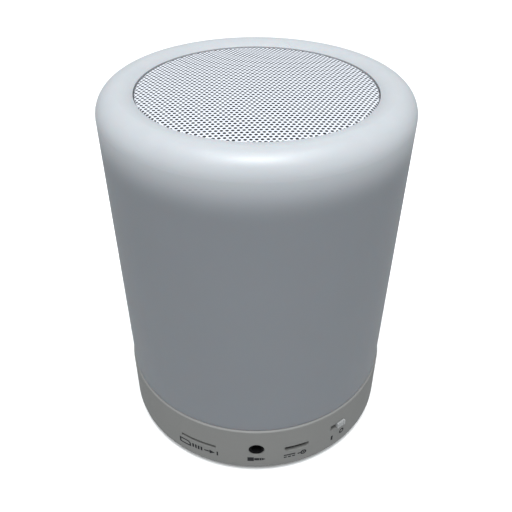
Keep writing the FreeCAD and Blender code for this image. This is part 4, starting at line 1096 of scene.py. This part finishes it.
@dataclass
class PortSigns:
    """The signs under the ports: a card, a plug, direct current, and on and off.

    Each sign has its bearing in degrees and its height in millimetres.
    """

    radius: float = 45.0
    line: float = 0.44
    scale: float = 1.25
    card: Flat = (-24.8, 7.5)
    plug: Flat = (0.4, 7.0)
    current: Flat = (17.2, 7.1)
    on: Flat = (35.2, 7.5)
    off: Flat = (40.9, 8.0)

    def card_sign(self) -> None:
        """A card with one corner cut off, its contacts, and an arrow into a slot."""
        marks = WrappedMarks(self.radius, *self.card, scale=self.scale)
        marks.card(-4.3, 0.0, 3.2, 1.6, self.line)
        for index in range(4):
            marks.bar(-1.75 + index * 0.85, 0.0, 0.5, 1.5)
        marks.bar(2.4, 0.0, 1.5, self.line)
        marks.arrow(3.95, 0.0, 1.5)
        marks.bar(5.4, 0.0, 0.42, 1.6)
        marks.build("card_sign", PRINT_INK, RECEIVER, "black_plastic")

    def plug_sign(self) -> None:
        """A round audio plug, lying on its side."""
        marks = WrappedMarks(self.radius, *self.plug, scale=self.scale)
        marks.bar(-1.45, 0.0, 1.7, 1.6)
        marks.bar(0.15, 0.0, 1.3, 0.95)
        marks.bar(1.15, 0.0, 0.5, 0.95)
        marks.arrow(2.0, 0.0, 1.0)
        marks.build("audio_sign", PRINT_INK, RECEIVER, "black_plastic")

    def current_sign(self) -> None:
        """A solid line over a dashed one, and the mark of a positive centre pin."""
        marks = WrappedMarks(self.radius, *self.current, scale=self.scale)
        marks.bar(-1.6, 0.42, 3.2, self.line)
        for index in range(3):
            marks.bar(-2.75 + index * 1.15, -0.42, 0.8, self.line)
        marks.loop(2.3, 0.0, 0.66, self.line)
        marks.bar(1.0, 0.0, 0.7, self.line)
        marks.disc(2.3, 0.0, 0.26)
        marks.build("charging_sign", PRINT_INK, RECEIVER, "black_plastic")

    def switch_signs(self) -> None:
        """A bar for on and a ring for off."""
        marks = WrappedMarks(self.radius, *self.on, scale=self.scale)
        marks.bar(0.0, 0.0, 0.6, 1.7)
        marks.build("on_sign", PRINT_INK, RECEIVER, "black_plastic")
        marks = WrappedMarks(self.radius, *self.off, scale=self.scale)
        marks.loop(0.0, 0.0, 0.66, self.line)
        marks.build("off_sign", PRINT_INK, RECEIVER, "black_plastic")

    def build(self) -> None:
        """Builds every sign in place."""
        self.card_sign()
        self.plug_sign()
        self.current_sign()
        self.switch_signs()


# ----------------------------------------------------------------------------------------- keys


class KeySign(enum.Enum):
    """What is printed on a push key."""

    MODE = "mode"
    PREVIOUS = "previous"
    PLAY = "play"
    NEXT = "next"


@dataclass
class PushKey:
    """One push key: an oval cap with a dished, rounded face, a retaining lip and a stem."""

    sign: KeySign
    bearing: float
    height: float = 12.0 * MM
    half_width: float = 3.5 * MM
    half_tall: float = 1.6 * MM
    front: float = 45.4 * MM
    lip_front: float = 42.5 * MM
    lip_back: float = 41.5 * MM
    lip_margin: float = 0.8 * MM
    stem_radius: float = 1.4 * MM
    stem_back: float = 39.5 * MM
    round_radius: float = 0.35 * MM
    dish: float = 0.18 * MM
    dish_rings: tuple[float, ...] = (0.85, 0.68, 0.5, 0.32, 0.15)
    dish_edge: float = 0.9
    round_steps: int = 5
    steps: int = 44

    def oval(self, grow: float, scale: float = 1.0) -> list[Flat]:
        """Points round the key's oval outline, grown by a margin and scaled."""
        straight = self.half_width - self.half_tall
        radius = self.half_tall + grow
        quarter = self.steps // 2
        right = corner_arc((straight, 0.0), radius, -90.0, 90.0, quarter)
        left = corner_arc((-straight, 0.0), radius, 90.0, 270.0, quarter)
        return [(x * scale, y * scale) for x, y in right + left]

    def ring_at(self, outline: Sequence[Flat], distance: float, curved: bool = True) -> list[Vector]:
        """Places an outline at a distance from the axis, wrapped on a cylinder if curved."""
        placed = []
        for x, y in outline:
            out = math.sqrt(distance**2 - x * x) if curved else distance
            placed.append(on_bearing(self.bearing, x, out, self.height + y))
        return placed

    def rings(self) -> list[list[Vector]]:
        """The outlines the key's skin runs through, from the stem's end to the dish."""
        stem, lip = self.stem_outline(), self.oval(self.lip_margin)
        rings = [
            self.ring_at(stem, self.stem_back, False),
            self.ring_at(stem, self.lip_back, False),
            self.ring_at(lip, self.lip_back),
            self.ring_at(lip, self.lip_front),
            self.ring_at(self.oval(0.0), self.lip_front),
        ]
        for k in range(self.round_steps + 1):
            turn = math.pi / 2 * k / self.round_steps
            inset = self.round_radius * (1 - math.cos(turn))
            out = self.front - self.round_radius * (1 - math.sin(turn))
            rings.append(self.ring_at(self.oval(-inset), out))
        for share in self.dish_rings:
            hollow = self.dish * (1 - (share / self.dish_edge) ** 2)
            rings.append(self.ring_at(self.oval(-self.round_radius, share), self.front - hollow))
        return rings

    def build(self) -> bpy.types.Object:
        """Builds the key and its printed sign.

        Returns:
            The key's object.
        """
        rings = self.rings()
        points, faces = [], []
        size = len(rings[0])
        for ring in rings:
            points += ring
        for index in range(len(rings) - 1):
            for step in range(size):
                after = (step + 1) % size
                a, b = index * size, (index + 1) * size
                faces.append([a + step, a + after, b + after, b + step])
        points.append(sum(rings[0], Vector()) / size)
        points.append(sum(rings[-1], Vector()) / size)
        last = (len(rings) - 1) * size
        for step in range(size):
            after = (step + 1) % size
            faces.append([step, after, len(points) - 2])
            faces.append([last + step, last + after, len(points) - 1])
        name = self.sign.value
        mesh = from_lists(f"{name}_cap", points, faces)
        body = f"{name}_button"
        cap = finished(f"{name}_cap", mesh, KEY_PLASTIC, body, [f"{name}_key"], 40.0)
        self.print_sign(body)
        return cap

    def stem_outline(self) -> list[Flat]:
        """Points round the stem, matched one to one with the oval's points."""
        half = self.steps // 2
        return (corner_arc((0.0, 0.0), self.stem_radius, -90.0, 90.0, half)
                + corner_arc((0.0, 0.0), self.stem_radius, 90.0, 270.0, half))

    def print_sign(self, body: str) -> None:
        """Prints the key's sign on its face."""
        face = (self.front - self.dish * 0.8) / MM
        marks = WrappedMarks(face, self.bearing, self.height / MM, proud=0.16, sunk=0.05)
        if self.sign is KeySign.MODE:
            marks.loop(0.0, 0.0, 0.62, 0.24)
            marks.disc(0.0, 0.0, 0.24)
        elif self.sign is KeySign.PLAY:
            marks.arrow(-0.55, 0.0, 1.25)
            marks.bar(0.55, 0.0, 0.26, 1.25)
            marks.bar(1.1, 0.0, 0.26, 1.25)
        else:
            right = self.sign is KeySign.NEXT
            way = 1 if right else -1
            marks.arrow(-way * 0.75, 0.0, 1.05, right)
            marks.arrow(way * 0.3, 0.0, 1.05, right)
            marks.bar(way * 1.0, 0.0, 0.24, 1.1)
        marks.build(f"{self.sign.value}_sign", PRINT_INK, body, "key")


@dataclass
class KeyRow:
    """The row of four push keys at the back."""

    middle: float = 180.0
    spacing: float = 14.5

    def build(self) -> None:
        """Builds each key in its place."""
        for index, sign in enumerate(KeySign):
            PushKey(sign, self.middle + self.spacing * (index - 1.5)).build()


# ----------------------------------------------------------------------------------------- foot


@dataclass
class RubberFoot:
    """The ring foot, with shallow grooves in the face it stands on."""

    inner: float = 32.8 * MM
    outer: float = 39.4 * MM
    top: float = 1.2 * MM
    groove: float = 0.25 * MM
    edge: float = 0.2 * MM
    groove_share: float = 0.6
    ridges: int = 4
    segments: int = 160

    def build(self) -> bpy.types.Object:
        """Builds the foot in place of its plain CAD ring, and returns it."""
        width = (self.outer - self.inner) / self.ridges
        outline: list[Flat] = []
        for index in range(self.ridges):
            start = self.inner + index * width
            groove_start = start + width - self.edge * self.groove_share
            outline += [(start, self.groove if index else self.edge), (start + self.edge, 0.0),
                        (groove_start - self.edge, 0.0), (groove_start, self.groove)]
        outline[-2:] = [(self.outer - self.edge, 0.0), (self.outer, self.edge),
                        (self.outer, self.top), (self.inner, self.top)]
        mesh = turned("foot_tread", outline, self.segments)
        return finished("foot_tread", mesh, FOOT_RUBBER, RECEIVER, ["foot_ring"], 25.0)


# ---------------------------------------------------------------------------------------- ports


@dataclass
class ChargingContacts:
    """The five spring contacts under the charging socket's tongue."""

    bearing: float = 17.7
    front: float = 43.5 * MM
    middle: float = 10.75 * MM
    pitch: float = 0.65 * MM
    width: float = 0.32 * MM
    length: float = 3.2 * MM
    thick: float = 0.14 * MM
    setback: float = 1.0 * MM
    lift: float = 0.05 * MM
    tip_slope: float = 0.35 * MM
    belly: float = 1.25
    skin: float = 0.02 * MM
    count: int = 5

    def build(self) -> bpy.types.Object:
        """Builds the contacts as one piece of separate blades, and returns it."""
        work = bmesh.new()
        top = self.middle + self.lift
        for index in range(self.count):
            across = (index - (self.count - 1) / 2) * self.pitch
            tip = self.front - self.setback
            stations = [
                (tip, top),
                (tip - self.tip_slope, top - self.thick),
                (tip - self.length / 2, top - self.thick * self.belly),
                (tip - self.length, top - self.thick),
            ]
            left, right = [], []
            for out, low in stations:
                for side, store in ((-1, left), (1, right)):
                    place = across + side * self.width / 2
                    store.append([
                        work.verts.new(on_bearing(self.bearing, place, out, low - self.skin)),
                        work.verts.new(on_bearing(self.bearing, place, out, top + self.skin)),
                    ])
            for k in range(len(stations) - 1):
                work.faces.new([left[k][0], left[k + 1][0], right[k + 1][0], right[k][0]])
                work.faces.new([left[k][1], right[k][1], right[k + 1][1], left[k + 1][1]])
                work.faces.new([left[k][0], left[k][1], left[k + 1][1], left[k + 1][0]])
                work.faces.new([right[k][0], right[k + 1][0], right[k + 1][1], right[k][1]])
            work.faces.new([left[0][0], right[0][0], right[0][1], left[0][1]])
            work.faces.new([left[-1][0], left[-1][1], right[-1][1], right[-1][0]])
        bmesh.ops.recalc_face_normals(work, faces=work.faces)
        mesh = bpy.data.meshes.new("charging_contacts")
        work.to_mesh(mesh)
        work.free()
        return finished("charging_contacts", mesh, GOLD_CONTACT, RECEIVER)


# ----------------------------------------------------------------------------------- soft parts


@dataclass
class CellFoam:
    """The foam that holds the cell: a pad under it, and two collars round it.

    Each collar is a die-cut ring with rounded edges, notched where the leads pass.
    """

    cell_radius: float = 9.1 * MM
    pad_low: float = 17.6 * MM
    pad_high: float = 19.6 * MM
    collar_inner: float = 9.2 * MM
    collar_outer: float = 24.2 * MM
    collar_height: float = 10.0 * MM
    collar_lows: tuple[float, float] = (26.0 * MM, 68.0 * MM)
    notch_width: float = 8.0 * MM
    notch_start: float = 12.0 * MM
    notch_round: float = 1.5 * MM
    edge: float = 1.8 * MM
    steps: int = 120
    corner_steps: int = 5
    pad_segments: int = 72

    def collar_outline(self) -> list[Flat]:
        """The collar's outer edge, anticlockwise, with the notch at the back."""
        half, corner = self.notch_width / 2, self.notch_round
        open_angle = math.degrees(math.asin(half / self.collar_outer))
        rim = corner_arc((0.0, 0.0), self.collar_outer, 90 + open_angle, 450 - open_angle,
                         self.steps)
        floor = self.notch_start + corner
        right = corner_arc((half - corner, floor), corner, 0, -90, self.corner_steps)
        left = corner_arc((corner - half, floor), corner, -90, -180, self.corner_steps)
        return rim + right + left

    def inset(self, loop: Sequence[Flat], reach: float) -> list[Flat]:
        """A closed anticlockwise outline moved inwards, or outwards for a negative reach."""
        moved = []
        for index, point in enumerate(loop):
            along = Vector(loop[(index + 1) % len(loop)]) - Vector(loop[index - 1])
            side = Vector((-along.y, along.x)).normalized() * reach
            moved.append((point[0] + side.x, point[1] + side.y))
        return moved

    def collar_mesh(self, low: float) -> bpy.types.Mesh:
        """One collar, with every edge rounded.

        Args:
            low: the height of its underside.

        Returns:
            The mesh.
        """
        high = low + self.collar_height
        round_off = corner_arc((self.edge, low + self.edge), self.edge, 270, 180,
                               self.corner_steps)
        levels = round_off + [(reach, low + high - height) for reach, height in reversed(round_off)]
        outer = self.collar_outline()
        inner = corner_arc((0.0, 0.0), self.collar_inner, 0, 360, self.steps)[:-1]
        points: list[Vector] = []
        faces: list[list[int]] = []
        for loop, way in ((outer, 1.0), (inner, -1.0)):
            first, count = len(points), len(loop)
            for reach, height in levels:
                points += [Vector((x, y, height)) for x, y in self.inset(loop, way * reach)]
            for level in range(len(levels) - 1):
                start = first + level * count
                for step in range(count):
                    after = (step + 1) % count
                    faces.append([start + step, start + after,
                                  start + count + after, start + count + step])
        hole = len(outer) * len(levels)
        for level in (0, len(levels) - 1):
            rim = list(range(level * len(outer), (level + 1) * len(outer)))
            bore = list(range(hole + level * len(inner), hole + (level + 1) * len(inner)))
            loops = [[points[k] for k in rim], [points[k] for k in bore]]
            numbers = rim + bore
            faces += [[numbers[k] for k in face] for face in tessellate_polygon(loops)]
        return from_lists("cell_collar", points, faces)

    def pad_mesh(self) -> bpy.types.Mesh:
        """The thin round pad, squeezed so that its rim bulges."""
        half = (self.pad_high - self.pad_low) / 2
        rim = corner_arc((self.cell_radius - half, self.pad_low + half), half, -90, 90,
                         2 * self.corner_steps)
        outline = [(0.0, self.pad_low), *rim, (0.0, self.pad_high)]
        return turned("cell_pad_foam", outline, self.pad_segments)

    def build(self) -> None:
        """Builds the pad and both collars in place of their plain CAD solids."""
        pieces = [finished("cell_pad_foam", self.pad_mesh(), BLACK_FOAM, RECEIVER,
                           ["cell_pad"])]
        for name, low in zip(("lower_collar_foam", "upper_collar_foam"), self.collar_lows):
            pieces.append(finished(name, self.collar_mesh(low), BLACK_FOAM, RECEIVER,
                                   ["cell_collars"]))


@dataclass
class SpiderCloth:
    """The stiffened cloth disc, pressed into waves, that keeps the coil in the middle."""

    inner: float = 6.95 * MM
    outer: float = 16.2 * MM
    wave_start: float = 7.5 * MM
    wave_stop: float = 14.4 * MM
    low: float = 101.2 * MM
    wave_height: float = 0.6 * MM
    thick: float = 0.3 * MM
    waves: int = 4
    steps: int = 80
    segments: int = 96

    def height(self, radius: float) -> float:
        """How high the cloth's underside lies at a radius."""
        share = (radius - self.wave_start) / (self.wave_stop - self.wave_start)
        if not 0 < share < 1:
            return self.low
        return self.low + self.wave_height * (1 - math.cos(2 * math.pi * self.waves * share)) / 2

    def build(self) -> bpy.types.Object:
        """Builds the spider in place of its CAD solid, and returns it."""
        radii = [self.inner + (self.outer - self.inner) * k / self.steps
                 for k in range(self.steps + 1)]
        under = [(radius, self.height(radius)) for radius in radii]
        over = [(radius, height + self.thick) for radius, height in reversed(under)]
        mesh = turned("spider_cloth", under + over, self.segments)
        piece = finished("spider_cloth", mesh, SPIDER_CLOTH, RECEIVER, ["spider"])
        return piece


# --------------------------------------------------------------------------------------- studio

LAMP_COLOUR: Colour = (0.97, 0.99, 1.0)


@dataclass(frozen=True)
class SoftLight:
    """One square soft light.

    Attributes:
        name: its name.
        place: where it hangs.
        aim: the point it faces.
        size: its side, in metres.
        power: its power, in watts.
        mirrored: whether glossy surfaces show it.
    """

    name: str
    place: Place
    aim: Place
    size: float
    power: float
    mirrored: bool = True

    def hang(self) -> None:
        """Hangs the light in the scene, turned to its aim."""
        data = bpy.data.lights.new(self.name, "AREA")
        data.shape = "SQUARE"
        data.size, data.energy = self.size, self.power
        data.color = LAMP_COLOUR
        light = bpy.data.objects.new(self.name, data)
        light.location = self.place
        light.visible_glossy = self.mirrored
        facing = Vector(self.aim) - Vector(self.place)
        light.rotation_euler = facing.to_track_quat("-Z", "Y").to_euler()
        bpy.context.scene.collection.objects.link(light)


@dataclass
class Studio:
    """The pale floor, the soft lights and the camera."""

    camera_place: Place = (0.0, -0.1698, 0.1838)
    camera_aim: Place = (0.0, 0.0, 0.0570)
    camera_roll: float = 0.23
    lens: float = 43.89
    sensor: float = 36.0
    floor_size: float = 3.0
    floor_gap: float = 0.0001
    floor_colour: Colour = (0.95, 0.95, 0.95)
    sky: Colour = (0.93, 0.97, 1.0)
    sky_light: float = 0.48
    lights: tuple[SoftLight, ...] = (
        SoftLight("overhead", (0.0, -0.26, 0.93), (0.0, 0.0, 0.06), 0.9, 11.4),
        SoftLight("front_glow", (0.0, -0.29, 0.88), (0.0, 0.0, 0.10), 0.30, 4.6),
        SoftLight("back_fill", (0.0, 1.0, 0.32), (0.0, 0.0, 0.05), 0.8, 1.6, mirrored=False),
    )

    def floor(self) -> None:
        """Lays a wide matt floor."""
        half = self.floor_size / 2
        mesh = bpy.data.meshes.new("floor")
        under = -self.floor_gap
        corners = [(-half, -half, under), (half, -half, under), (half, half, under),
                   (-half, half, under)]
        mesh.from_pydata(corners, [], [(0, 1, 2, 3)])
        laid = bpy.data.objects.new("floor", mesh)
        bpy.context.scene.collection.objects.link(laid)
        finish = bpy.data.materials.new("floor_paint")
        finish.use_nodes = True
        graph = Graph(finish.node_tree)
        graph.feed(finish.node_tree.nodes["Principled BSDF"], Base_Color=(*self.floor_colour, 1.0),
                   Roughness=0.9, Specular_IOR_Level=0.1)
        mesh.materials.append(finish)
        laid.visible_glossy = False

    def backdrop(self) -> None:
        """Sets a pale sky, which lights the scene less than it shows."""
        world = bpy.data.worlds.new("pale_room")
        world.use_nodes = True
        graph = Graph(world.node_tree)
        shader = world.node_tree.nodes["Background"]
        seen = graph.add("LightPath").outputs["Is Camera Ray"]
        graph.feed(shader, Color=(*self.sky, 1.0),
                   Strength=graph.span(seen, 0.0, 1.0, self.sky_light, 1.0))
        bpy.context.scene.world = world

    def camera(self) -> None:
        """Places the camera."""
        data = bpy.data.cameras.new("camera")
        data.lens, data.sensor_width = self.lens, self.sensor
        data.clip_start, data.clip_end = 0.01, 20.0
        made = bpy.data.objects.new("camera", data)
        made.location = self.camera_place
        facing = Vector(self.camera_aim) - Vector(self.camera_place)
        upright = facing.to_track_quat("-Z", "Y")
        roll = Quaternion((0.0, 0.0, 1.0), math.radians(self.camera_roll))
        made.rotation_euler = (upright @ roll).to_euler()
        bpy.context.scene.collection.objects.link(made)
        bpy.context.scene.camera = made

    def build(self) -> None:
        """Builds the whole studio."""
        self.camera()
        self.floor()
        self.backdrop()
        for light in self.lights:
            light.hang()
        bpy.context.scene.view_settings.view_transform = "Standard"
        bpy.context.scene.view_settings.look = "None"


# ----------------------------------------------------------------------------------------- main


def dress_frame() -> None:
    """Gives every CAD node that stays in view its finish."""
    for name, finish in NODE_FINISHES.items():
        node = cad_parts[name]
        node.data.materials.clear()
        node.data.materials.append(finish.material())
        LOG.info("%s: finish %s", name, finish.name)


def main() -> None:
    """Builds the studio and every piece, in order."""
    logging.basicConfig(level=logging.INFO, format="%(name)s %(message)s")
    Studio().build()
    dress_frame()
    PerforatedGrille().build()
    PortSigns().build()
    KeyRow().build()
    RubberFoot().build()
    ChargingContacts().build()
    CellFoam().build()
    SpiderCloth().build()


if __name__ == "__main__":
    main()
